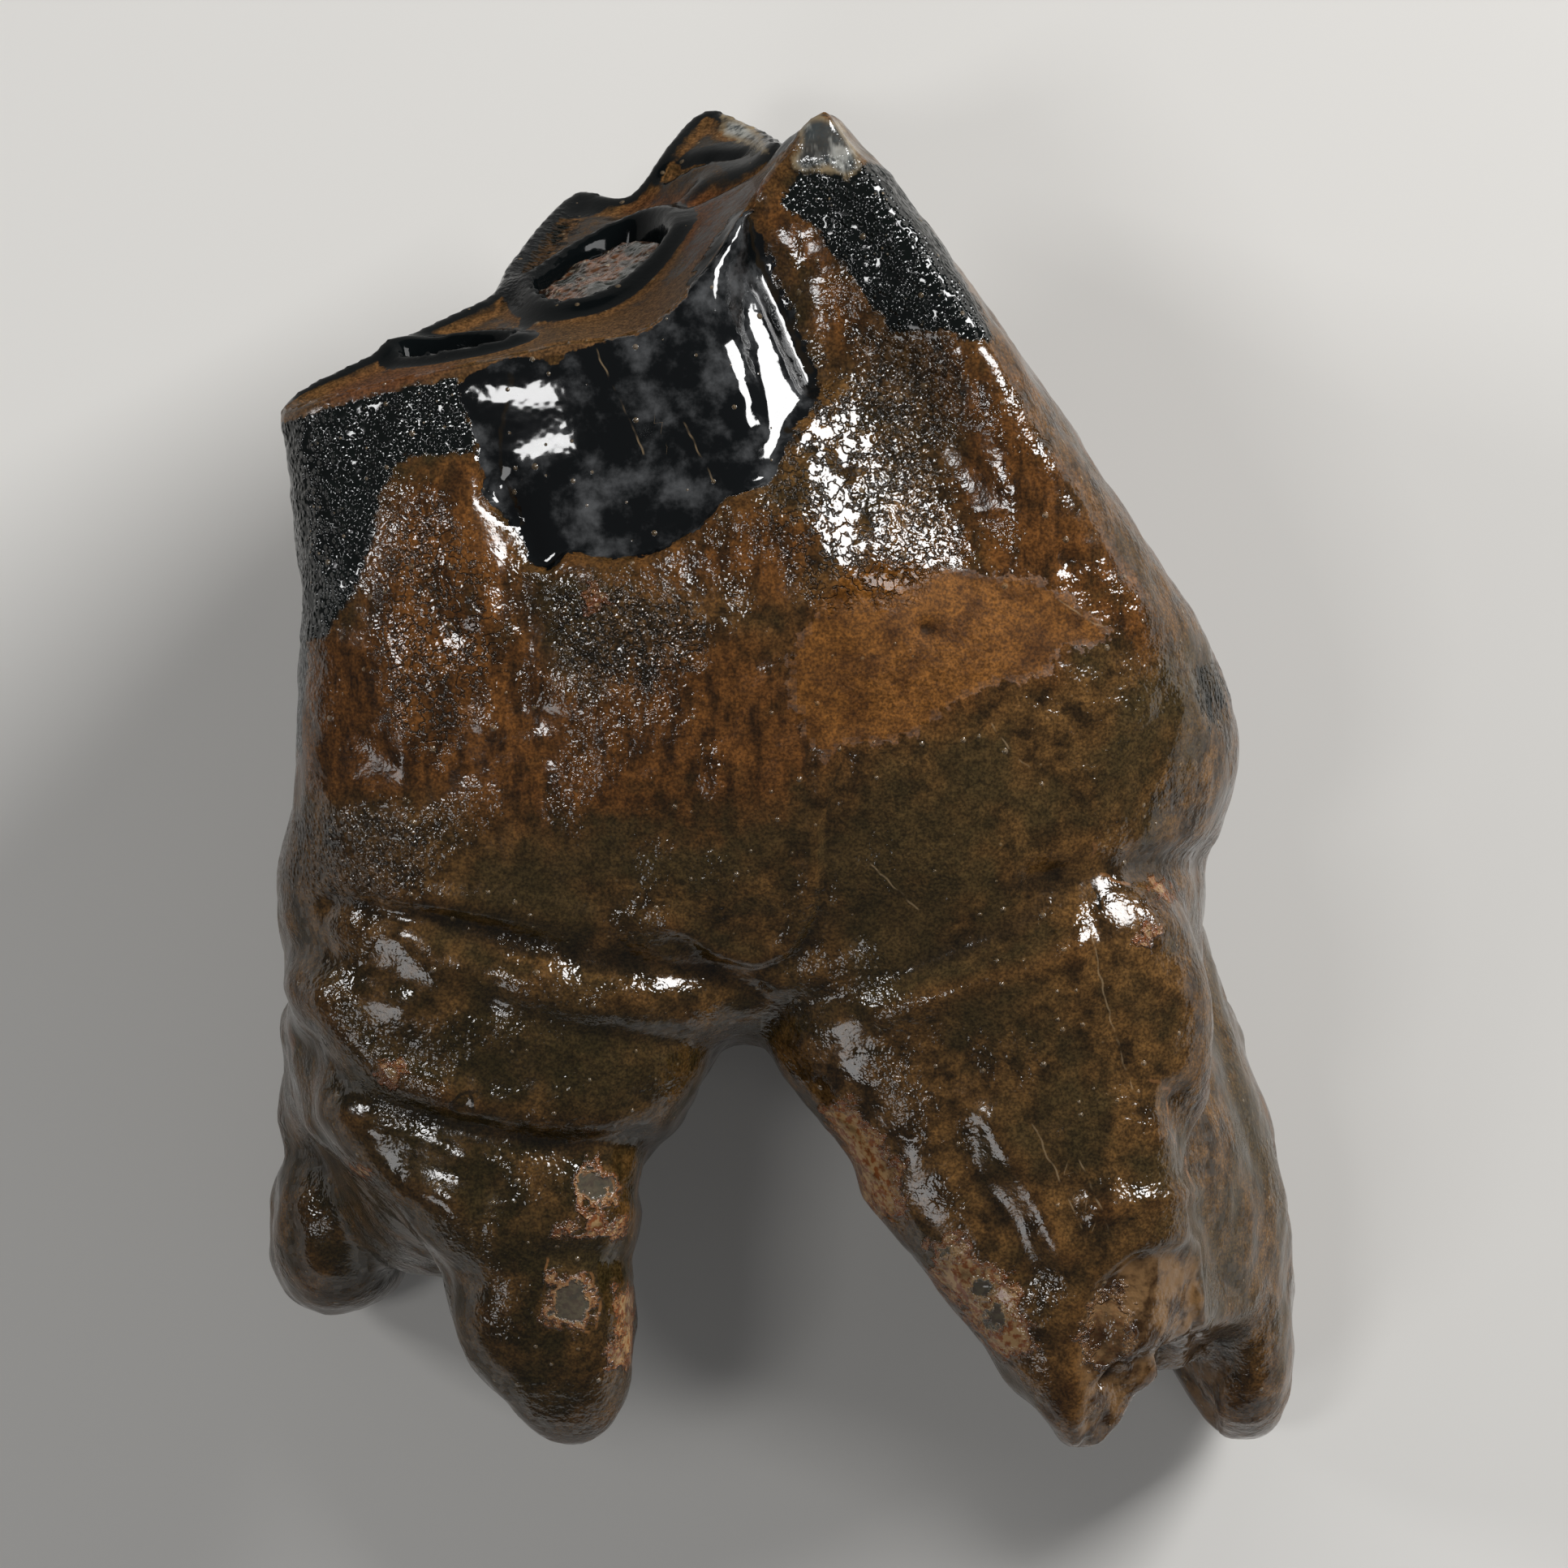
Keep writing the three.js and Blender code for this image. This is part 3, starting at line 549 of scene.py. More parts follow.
# Strokes of the cheek side: path, height and width.
strokes = {
    "neck groove, rear": (drawn(-272, -72, -214, -79, -156, -95, -108, -108, -46, -114, -17, -126), -0.65, 0.8),
    "neck fold, rear": (drawn(-233, -68, -176, -73, -132, -80, -99, -83, -69, -81), 0.3, 0.9),
    "flap lip": (
        drawn(-69, -81, -53, -89, -39, -100, -17, -106, 1, -99, 12, -83, 18, -55, 21, -16, 29, 20), 0.32, 0.5,
    ),
    "flap seam": (drawn(-63, -93, -41, -108, -16, -112, 8, -103, 19, -84, 24, -55, 27, -16, 34, 17), -0.3, 0.45),
    "second groove, rear": (drawn(-176, -129, -137, -142, -94, -149, -56, -156, -29, -160), -0.5, 0.9),
    "soft groove, rear": (drawn(-286, -96, -248, -112, -214, -121, -176, -131), -0.35, 1.1),
    "upper ring": (drawn(-273, -128, -256, -148, -233, -171, -204, -182), 0.55, 1.0),
    "upper ring groove": (drawn(-286, -156, -262, -182, -228, -196, -185, -208, -128, -218, -84, -214), -0.85, 1.0),
    "middle ring": (drawn(-276, -201, -252, -222, -224, -238, -195, -247), 0.5, 1.2),
    "middle ring groove": (drawn(-288, -218, -257, -250, -224, -278, -190, -297), -0.9, 1.3),
    "lower band": (drawn(-132, -256, -93, -253), 0.25, 0.8),
    "lower band groove": (drawn(-142, -279, -92, -281), -0.35, 0.7),
    "bead": (drawn(-201, -185, -194, -179, -184, -182, -182, -192, -190, -197, -199, -193, -201, -185), 0.2, 0.35),
    "neck crease, front": (drawn(151, -57, 182, -52, 218, -48, 252, -46), -0.7, 1.1),
    "fold groove, front": (drawn(-3, -137, 45, -121, 88, -104, 136, -84, 165, -68), -0.6, 1.1),
    "fold crest, front": (drawn(57, -136, 88, -126, 136, -112, 177, -96), 0.45, 1.0),
    "bead, front": (drawn(218, -76, 220, -84), 0.6, 1.6),
    "seam, front": (drawn(180, -60, 185, -103, 193, -136, 207, -180), -0.22, 0.4),
    "root groove, front": (drawn(238, -189, 249, -228, 262, -271, 266, -304, 260, -348), -1.2, 1.3),
    "root flute": (drawn(103, -208, 127, -256, 148, -290), -0.5, 1.2),
    "root flute, middle": (drawn(146, -196, 160, -223, 175, -264), -0.25, 0.6),
    "root rib": (drawn(124, -199, 148, -242, 165, -280), 0.3, 0.9),
    "root step": (drawn(185, -252, 218, -247, 250, -239), 0.4, 0.7),
    "cheek groove, rear": (drawn(-170, 176, -156, 128, -153, 84, -156, 46), -0.6, 1.1),
    "cheek fold, rear": (drawn(-233, 106, -228, 65, -219, 17), 0.35, 1.2),
    "cheek fold, middle": (drawn(-195, 128, -176, 99, -156, 80), 0.3, 0.9),
    "style groove": (drawn(-18, 341, -3, 309, 12, 274, 25, 242), -0.7, 0.7),
    "glossy ridge": (drawn(-128, 250, -125, 195, -122, 132), 0.28, 3.0),
    "glossy facet": (drawn(-20, 305, -8, 262, 1, 214, -3, 185), -0.7, 1.9),
    "column trough": (drawn(45, 262, 74, 214, 108, 147), -0.5, 2.4),
    "column crest": (drawn(52, 360, 88, 305, 129, 243, 171, 164, 208, 99), 0.35, 1.5),
    "pit": (drawn(84, 92, 86, 91), -0.5, 0.45),
    "pit, upper": (drawn(166, 134, 168, 131), -0.5, 0.5),
    "bulge spot": (drawn(252, 68, 255, 45), -0.4, 0.9),
}
areas = {
    "gloss": drawn(
        -194, 238, -174, 248, -153, 253, -134, 248, -128, 254, -112, 259, -85, 266, -70, 277, -58, 288, -55, 301,
        -46, 317, -36, 331, -22, 346, -6, 320, 9, 286, 26, 239, 22, 228, 10, 209, -6, 179, -36, 168, -50, 152,
        -80, 135, -104, 133, -128, 137, -140, 125, -151, 130, -160, 152, -178, 168, -180, 196, -188, 221
    ),
    "grit": drawn(
        -300, 228, -272, 227, -233, 236, -194, 245, -188, 221, -180, 196, -224, 194, -238, 176, -245, 137, -257, 108,
        -274, 84, -291, 84, -298, 176
    ),
    "gritFront": drawn(
        -3, 344, 9, 365, 36, 372, 64, 360, 93, 320, 112, 286, 124, 260, 98, 266, 64, 269, 52, 281, 36, 305, 16, 332
    ),
    "tongue": drawn(
        -238, 176, -224, 192, -180, 195, -176, 166, -156, 132, -152, 99, -176, 56, -224, 3, -257, 32, -272, 80,
        -252, 108, -245, 137
    ),
    "bright": drawn(
        40, 128, 74, 132, 103, 128, 156, 118, 184, 99, 195, 84, 163, 80, 156, 65, 120, 58, 98, 46, 84, 34, 64, 24,
        36, 24, 26, 12, 9, 32, 0, 70, 16, 99
    ),
    "rearWarm": drawn(
        -288, 84, -257, 99, -195, 80, -152, 99, -128, 51, -65, 89, -8, 80, 16, 51, 21, 12, -3, -16, -80, -22,
        -176, -16, -233, -12, -293, 0
    ),
    "columnWarm": drawn(88, 262, 127, 248, 175, 166, 218, 99, 208, 80, 184, 84, 136, 118, 88, 132, 103, 195),
    "underGloss": drawn(-132, 130, -89, 128, -46, 147, -17, 165, 21, 147, -3, 108, -51, 118, -89, 116, -137, 116),
    "strip": drawn(-20, 344, -3, 344, 16, 332, 36, 305, 52, 281, 55, 267, 31, 252, 21, 272, 12, 296),
    "tongueSparkle": drawn(-238, 166, -195, 176, -171, 128, -156, 80, -176, 51, -204, 3, -238, 32, -248, 89),
    "sparkle": drawn(16, 233, 60, 238, 79, 195, 108, 137, 64, 106, 21, 106, -17, 156, -3, 180),
    "darkPatch": drawn(-137, 111, -99, 116, -56, 106, -46, 80, -70, 58, -108, 60, -132, 80),
    "bottomDark": drawn(-293, -21, -233, -16, -204, -26, -209, -60, -252, -69, -296, -60),
    # Painted shade: the trough beside the column is drawn as a dark area.
    "troughShade": drawn(39, 266, 64, 269, 98, 264, 108, 238, 93, 195, 108, 147, 84, 156, 60, 190, 40, 228),
    "bulgeDark": drawn(246, 70, 256, 72, 264, 56, 262, 39, 252, 36, 244, 51),
    "cusp": drawn(
        -165, 284, -167, 298, -156, 316, -137, 333, -128, 339, -120, 334, -128, 324, -132, 316, -143, 304, -152, 294,
        -156, 284
    ),
    "oval": drawn(
        -271, 225, -267, 233, -252, 240, -233, 245, -214, 247, -201, 249, -194, 247, -214, 238, -233, 230, -252, 225
    ),
    "junction": drawn(
        -94, 338, -80, 349, -56, 350, -32, 352, -3, 360, 16, 368, 4, 351, -20, 345, -32, 338, -41, 320, -56, 305,
        -60, 320, -58, 334, -70, 340
    ),
    "pillarTip": drawn(9, 378, 9, 392, 21, 396, 33, 392, 43, 374, 47, 362, 36, 358, 25, 364, 12, 360, 5, 366),
    "domeTip": drawn(-36, 395, -24, 393, -14, 384, -10, 373, -24, 379, -38, 383),
    "broken": drawn(177, -324, 184, -297, 208, -278, 242, -273, 256, -295, 256, -381, 175, -396),
}
# Black enamel of the chewing surface that isn't a pocket's: folds of the cusps, drawn as the cheek side's areas are.
blackFolds = [
    drawn(
        -66, 366, -56, 375, -39, 379, -27, 381, -12, 376, -11, 372, -20, 365, -32, 360, -39, 368, -51, 366, -60, 366
    ),
    drawn(-33, 361, -17, 370, -8, 376, 9, 388, 7, 381, -3, 372, -16, 365, -29, 359),
    drawn(-132, 335, -125, 346, -111, 353, -96, 356, -81, 353, -92, 348, -103, 342, -111, 337, -122, 334),
    drawn(-156, 273, -151, 285, -143, 288, -145, 279, -149, 270, -156, 265),
]
# Hair-thin marks: pale scratches, tan veins and dark cracks.
hairs = {
    "scratch": [
        drawn(52, -48, 65, -61, 79, -74), drawn(163, 108, 177, 99, 190, 91), drawn(146, -199, 160, -228, 176, -262),
        drawn(175, -223, 184, -244, 192, -266), drawn(123, 35, 134, 20, 145, 10),
        drawn(-111, 257, -98, 229, -84, 197),
        drawn(-60, 214, -52, 197, -43, 181), drawn(180, -80, 185, -103, 193, -136, 207, -180),
    ],
    "vein": [
        drawn(218, -175, 235, -182, 232, -204, 247, -223, 249, -247), drawn(185, -36, 184, -52, 204, -60),
        drawn(88, -271, 108, -276, 132, -304, 148, -336),
        drawn(-140, -283, -142, -300, -132, -319, -113, -326, -108, -304, -114, -290),
        drawn(-124, -228, -103, -230, -101, -246, -122, -247, -124, -228),
        drawn(25, -192, 40, -218, 57, -247),
    ],
    "seam": [drawn(34, 17, 27, -16, 24, -55, 19, -84, 8, -103, -16, -112, -41, -108, -63, -93)],
    "crack": [
        drawn(9, 214, 22, 195, 36, 176, 64, 137),
        drawn(-161, 242, -162, 231, -169, 209, -169, 188, -156, 155),
        drawn(-20, 341, -4, 308, 12, 274, 24, 240), drawn(184, -52, 186, -74),
        drawn(-195, -185, -185, -182, -182, -192, -192, -197, -199, -190, -195, -185),
    ],
}
# Crust: outlines and round spots (x, y, radius) of pale scale, some with a grey middle.
crusts = [
    drawn(88, -271, 108, -267, 112, -283, 132, -292, 142, -316, 149, -334, 129, -339, 116, -328, 103, -309, 86, -292),
    drawn(25, -193, 38, -190, 54, -208, 70, -230, 70, -252, 56, -256, 40, -228),
    drawn(-101, -300, -88, -299, -87, -343, -103, -344, -98, -324),
    drawn(179, -328, 182, -309, 201, -300, 208, -324, 206, -348, 184, -352),
]
crustSpots = [
    (-11.2, -23.8, 1.06), (-12.8, -30.7, 1.54), (-23.1, -17.1, 0.67), (-11.2, -26, 0.53), (-12.9, -26.4, 0.38),
    (-11.7, -25.3, 0.29), (-10, -26.3, 0.38), (-24.8, -22.8, 0.38), (22.3, -6.4, 0.58), (21.3, -8.8, 0.38),
    (-11.2, 11, 0.58),
]
coreSpots = [(-11.2, -23.8, 0.96), (-12.8, -30.7, 1.39), (9.5, -27.7, 0.48), (11.7, -30, 0.58), (12.4, -31.7, 0.72)]
relief = {
    "glossDepth": 0.8,
    "glossStart": (0.4, 6.5),  # how far below the chewing surface the glossy hollow begins and is whole
    "tongueHeight": 0.5,
    "brokenDepth": 0.9,
    "rings": (0.16, 5.2),  # height and pitch of the growth rings of the hidden sides
    "hole": ([(19.9, -36.3), (20.3, -36)], 3.4, 0.8),
    "notch": ([(22.3, -35.2), (22.4, -37.6), (22.8, -40)], 1.6, 0.9),
    # Noises: height, size, seed and number of octaves.
    "cementSwell": (0.28, 7.0, 11, 2),
    "cementGrain": (0.1, 1.7, 23, 2),
    "gritGrain": (0.14, 1.1, 31, 2),
    "sparkleGrain": (0.1, 1.5, 41, 2),
    "patchGrain": (0.2, 1.2, 43, 2),
    "brokenGrain": (0.28, 2.0, 51, 3),
    "rootGrain": (0.22, 4.0, 67, 3),
    "sideWarm": (2.2, 13, 71, 3),
    "gritEdge": (2, 6, 81, 2),
}


reach = skin["fieldReach"]


def layout(spots):
    # Where points fall on the flat layout: drawn out from the eye's foot by their height.
    scale = (skin["eye"] - skin["layoutLevel"]) / (skin["eye"] - spots[:, 2])
    return spots[:, 0] * scale, spots[:, 1] * scale


def nearOnly(function, reach, outline):
    # The function's value at the points within reach of the outline's box, and 0 elsewhere.
    x, y = flat
    low, high = np.min(outline, 0) - reach, np.max(outline, 0) + reach
    near = (x > low[0]) & (x < high[0]) & (y > low[1]) & (y < high[1])
    value = np.zeros(len(x))
    value[near] = function(x[near], y[near])
    return value


def areaField(outline):
    # Signed distance to an area of the layout, cut to the reach, and brought below 0 where the skin turns away.
    def inside(x, y):
        return np.clip(insideOf(outline, x, y), -reach, reach) + reach

    return np.minimum(nearOnly(inside, reach, outline) - reach, turned)


def hairField(paths):
    # Distance across the nearest stretch, less than 0 on one side of it, and distance beyond its ends.
    x, y = flat
    nearest, across, beyond = (np.full(len(x), reach) for _ in range(3))
    for path in paths:
        for (ax, ay), (bx, by) in zip(path[:-1], path[1:]):
            dx, dy = bx - ax, by - ay
            length = math.hypot(dx, dy)
            along = ((x - ax) * dx + (y - ay) * dy) / length
            aside = ((x - ax) * dy - (y - ay) * dx) / length
            past = np.maximum(-along, along - length)
            distance = np.hypot(aside, np.maximum(past, 0))
            closer = distance < nearest
            nearest[closer], across[closer], beyond[closer] = distance[closer], aside[closer], past[closer]
    return np.stack([across, beyond, nearest], -1)


def stroke(path, tall, width):
    # Height of a stroke where the skin faces the cheek side.
    return tall * nearOnly(lambda x, y: bell(path, width, x, y), 3 * width, path) * onCheek


def noiseOf(name):
    # One of the relief's noises, at the skin's points.
    tall, size, seed, octaves = relief[name]
    return tall * roughness(points, size, seed, octaves)


def most(*names):
    # Union of areas: the highest of their fields.
    return np.maximum.reduce([field[name] for name in names])


facing = normals[:, 2]
onCheek = smoothStep(facing, -0.1, 0.2)
turned = (facing - 0.02) * skin["turnSlope"]  # below 0 where the skin turns away from the cheek side
flat = layout(points)
chewing = points[:, 1] > skin["chewingFrom"]
outside = np.full(len(points), -reach)
rim, slots = outside.copy(), {name: outside.copy() for name in pockets}
x, level, z = points[chewing].T
rimInside, pocketInside = chewingFields(x, z)
below = np.full(len(points), 20.0)
below[chewing] = chewingLevel(x, z) - level
onTop = (skin["topDepth"] - below[chewing]) * 2
rim[chewing] = np.clip(np.minimum(rimInside, onTop), -reach, 2 * reach)
for name in pockets:
    slots[name][chewing] = np.clip(np.minimum(pocketInside[name], onTop + reach), -reach, reach)
field = {name: areaField(outline) for name, outline in areas.items()}
wall = smoothStep(-rim, -0.1, 0.4)

height = np.zeros(len(points))
for path, tall, width in strokes.values():
    height += stroke(path, tall, width)
height -= relief["glossDepth"] * smoothStep(field["gloss"], -0.25, 0.35) * smoothStep(below, *relief["glossStart"])
height += relief["tongueHeight"] * smoothStep(field["tongue"], -0.5, 2.2)
cement = 1 - np.clip(smoothStep(field["gloss"], -0.2, 0.3) + smoothStep(rim, -0.2, 0.3), 0, 1)
grit = smoothStep(most("grit", "gritFront"), -0.4, 0.4)
height += noiseOf("cementSwell") * cement * (1 - grit)
height += noiseOf("cementGrain") * cement * (1 - grit)
height += noiseOf("gritGrain") * grit * wall
height += noiseOf("sparkleGrain") * smoothStep(field["sparkle"], -1, 1)
height += noiseOf("patchGrain") * smoothStep(field["darkPatch"], -0.8, 0.8)
height -= smoothStep(field["broken"], -0.4, 0.8) * (relief["brokenDepth"] + noiseOf("brokenGrain"))
height -= stroke(*relief["hole"])
height -= stroke(*relief["notch"])
# Rings and flutes of the roots on the sides away from the cheek, by level and by the way round.
away = (1 - onCheek) * (1 - smoothStep(points[:, 1], -12, -6))
ringHeight, ringPitch = relief["rings"]
height += away * ringHeight * np.sin(2 * np.pi * (points[:, 1] + 1.5 * grain(points, 9, 61)) / ringPitch)
height += away * noiseOf("rootGrain")

points = points + normals * height[:, None]
points[:, 2] = np.maximum(points[:, 2], 0.0)
points = relax(points, edges, 1, 0.6)
points[:, 2] = np.maximum(points[:, 2], 0.0)
normals = pointNormals(points, quads)
# How far each point stands out of its smoothed neighbours: it places the painted highlight on bulges and the painted
# shade in hollows.
smoothPoints = points
for _ in range(skin["bulgeRounds"]):
    smoothPoints = neighbourMean(smoothPoints, edges)
bulge = np.einsum("ij,ij->i", points - smoothPoints, normals)
print("skin relief done")


def spotsField(spots, start):
    # Signed distance to the nearest round spot, or the start's value where that is higher.
    distances = [radius - np.hypot(flat[0] - spotX, flat[1] - spotY) for spotX, spotY, radius in spots]
    return np.maximum(start, np.minimum(np.maximum.reduce(distances), turned))


crustField = spotsField(crustSpots, np.maximum.reduce([outside, *map(areaField, crusts)]))
coreField = spotsField(coreSpots, outside)

warm = most("bright", "rearWarm", "columnWarm", "underGloss", "strip", "tongue")
hairFields = {name: hairField(paths) for name, paths in hairs.items()}
for values in hairFields.values():
    values[facing < 0.05] = reach
sideWarm = noiseOf("sideWarm") + 1.2 - 0.25 * np.abs(points[:, 1] - 10)
warm = np.where(facing > 0.15, warm, np.maximum(warm, sideWarm * smoothStep(0.15 - facing, 0, 0.2)))
rearGrit = np.minimum(np.minimum(-points[:, 0] - 22, points[:, 1] - 1.5 + noiseOf("gritEdge")), reach)
gritField = np.maximum(most("grit", "gritFront"), np.where(facing < 0.3, rearGrit, -reach))
halfRim = 0.5 * crown["rimEnamel"]
enamel = np.maximum(halfRim - np.abs(rim - halfRim), -reach)
onCheekRim = smoothStep(points[:, 2], 40, 43)
enamel = np.where(rim > -0.3, enamel - crown["cheekEnamel"] * onCheekRim, -reach)
for name, pocket in pockets.items():
    ring = 0.5 * pocket["ring"] + 0.5 - np.abs(slots[name] - 0.5 * pocket["ring"] + 0.35)
    enamel = np.maximum(enamel, ring)
for outline in blackFolds:
    enamel = np.maximum(enamel, np.minimum(areaField(outline), rim + 0.6))
pocketDeep = np.maximum.reduce([slots[name] - pocket["ring"] for name, pocket in pockets.items()])

tooth = meshObject("tooth_skin", toRow(points), quads)
tooth.data.polygons.foreach_set("use_smooth", np.ones(len(quads), bool))
surface = {
    "rim": rim, "enamel": enamel, "pocket": pocketDeep, "gloss": field["gloss"], "grit": gritField,
    "warm": warm, "bright": field["bright"], "red": most("oval", "junction"),
    "sparkle": np.maximum.reduce([field["sparkle"], field["tongueSparkle"] - 0.7, field["darkPatch"] + 0.2]),
    "crust": crustField, "core": coreField, "bulge": bulge, "broken": field["broken"],
    "dark": most("bottomDark", "troughShade", "darkPatch"),
    "cool": smoothStep(-points[:, 0], -6, 12) * smoothStep(-points[:, 1], 2, 18),
    "black": most("bulgeDark", "cusp"), "pale": most("pillarTip", "domeTip"),
}
for name, values in surface.items():
    tooth.data.attributes.new(name, "FLOAT", "POINT").data.foreach_set("value", values.astype(np.float32))
for name, values in hairFields.items():
    made = tooth.data.attributes.new(name, "FLOAT_VECTOR", "POINT")
    made.data.foreach_set("vector", values.astype(np.float32).ravel())
print("skin made:", len(quads) * 2, "triangles")

# Cement in the pockets.
plug = {
    "inset": 0.35,  # how far its side stands inside the ring's inner edge
    "tail": 1.2,
    "rows": 26,
    "dome": 0.25,
    "edgeDrop": 0.5,
    "grain": (0.35, 1.6, 91, 3),  # height, size, seed and number of octaves
}


def tidyMesh(made):
    # Poles merged and faces turned outwards.
    work = bmesh.new()
    work.from_mesh(made.data)
    bmesh.ops.remove_doubles(work, verts=work.verts, dist=0.00001)
    bmesh.ops.dissolve_degenerate(work, edges=work.edges, dist=0.000001)
    bmesh.ops.recalc_face_normals(work, faces=work.faces)
    work.to_mesh(made.data)
    work.free()


def pocketFill(pocket, name):
    # Plug inside the pocket's ring: rows run in from its outline over a grainy top, and down a tapered side.
    outline = np.array(pocketOutline(pocket))
    middle = outline.mean(0)
    shrink = 1 - (pocket["ring"] - plug["inset"]) / min(pocket["halfX"], pocket["halfZ"])
    closed = np.append(outline, outline[:1], 0)
    at = np.arange(0, len(outline), 0.25)
    dense = np.stack([np.interp(at, np.arange(len(closed)), side) for side in closed.T], -1)
    foot = pocket["depth"] + plug["tail"]
    rows = []

    def row(reach, lift):
        x, z = (middle + (dense - middle) * shrink * reach).T
        rows.append(np.stack([x, wornLevel(x, z) + lift, z], -1))

    for reach, drop in [(0.0, foot), (0.7, foot), (1.0, pocket["depth"])]:
        row(reach, -drop)
    for reach in np.linspace(1, 0, plug["rows"]):
        row(reach, pocket["fill"] + plug["dome"] * (1 - reach**4) - plug["edgeDrop"] * reach**6)
    spots = np.array(rows).reshape(-1, 3)
    tall, grainSize, seed, octaves = plug["grain"]
    top = 3 * len(dense)
    spots[top:, 1] += tall * roughness(spots[top:], grainSize, seed, octaves)
    quadsOf = gridFaces(len(rows), len(dense))
    made = meshObject(name, toRow(spots), quadsOf)
    made.data.polygons.foreach_set("use_smooth", np.ones(len(quadsOf), bool))
    tidyMesh(made)
    return made


fills = {name: pocketFill(pocket, "pocket_cement_" + name) for name, pocket in pockets.items()}
print("pocket cement made")


def tone(red, green, blue):
    # Screen colour, 0 to 255, as the light it stands for.
    linear = [(c / 255 / 12.92 if c < 10.3 else ((c / 255 + 0.055) / 1.055) ** 2.4) for c in (red, green, blue)]
    return (*linear, 1.0)


finish = {
    "cementDark": tone(40, 28, 13), "cementMid": tone(88, 62, 31), "cementOlive": tone(52, 42, 22),
    "cementCool": tone(34, 28, 12), "paintedShade": tone(26, 20, 11),
    "warmDeep": tone(46, 28, 11), "warm": tone(90, 56, 24),
    "brightDeep": tone(70, 42, 15), "bright": tone(104, 66, 26),
    "dark": tone(26, 20, 11), "darkLight": tone(58, 42, 24),
    "grit": tone(7, 11, 9), "gritLight": tone(24, 29, 26),
    "gloss": tone(8, 10, 11), "glossCloud": tone(78, 79, 80),
    "dentine": tone(92, 64, 36), "dentineDeep": tone(58, 43, 24), "dentineRed": tone(82, 48, 27),
    "enamel": tone(8, 11, 12),
    "pale": tone(150, 150, 144), "paleTan": tone(128, 112, 86), "paleDeep": tone(58, 62, 62),
    "crust": tone(150, 120, 82), "crustOrange": tone(116, 66, 34), "core": tone(58, 60, 54),
    "broken": tone(112, 84, 54), "scratch": tone(150, 128, 98), "vein": tone(128, 88, 52),
    "crumb": tone(40, 32, 24), "crumbWarm": tone(104, 66, 40), "crumbPale": tone(140, 128, 108),
    "crumbGrey": tone(46, 48, 44),
}
# How each area ends, in millimetres: how far its edge wanders, the scale of that noise, its softness and its rim.
borders = {
    "warm": (3.2, 0.3, 1.9, 0.3), "bright": (1.3, 1.0, 0.12, 0.3), "dark": (2.0, 1.0, 0.8, 0.3),
    "sparkle": (1.8, 1.0, 0.9, 0.3), "crust": (1.5, 1.0, 0.1, 0.35), "core": (1.4, 1.0, 0.1, 0.3),
    "broken": (1.0, 1.0, 0.5, 0.3), "grit": (0.7, 1.0, 0.14, 0.3), "rim": (0.12, 1.0, 0.06, 0.3),
    "red": (0.4, 1.0, 0.6, 0.3), "black": (1.6, 1.0, 0.3, 0.3), "enamel": (0.08, 1.0, 0.05, 0.3),
    "pocket": (0.4, 1.0, 0.15, 0.3), "pale": (0.6, 1.0, 0.2, 0.3), "gloss": (0.5, 1.0, 0.05, 0.3),
}
# Hair-thin marks: half width and wander in millimetres, and how much of the line is left out.
lines = {"scratch": (0.07, 0.25, 0.35), "vein": (0.13, 0.5, 0.4), "crack": (0.16, 0.5, 0.2), "seam": (0.14, 0.7, 0.5)}
# Tone and strength of those marks and of the beads' pale painted glint, in the order they are laid on.
marks = {
    "scratch": ("scratch", 0.4), "vein": ("vein", 0.6), "seam": ("dark", 0.55), "crack": ("dark", 1.0),
    "beads": ("scratch", 0.3),
}
# Roughness of the areas that differ from the cement, from the lowest layer up.
roughnesses = {
    "bright": 0.72, "sparkle": 0.06, "grit": 0.1, "rim": 0.27, "black": 0.12, "enamel": 0.1, "gloss": 0.06,
    "beads": 0.06,
}
# Heights of the bump, in millimetres.
bumps = {
    "fleck": 0.02, "dark": 0.12, "curls": -0.12, "sparkle": 0.1, "crustRim": 0.12, "grit": 0.12,
    "dentine": 0.03, "black": 0.14, "glossRipple": 0.008, "beads": 0.9,
}


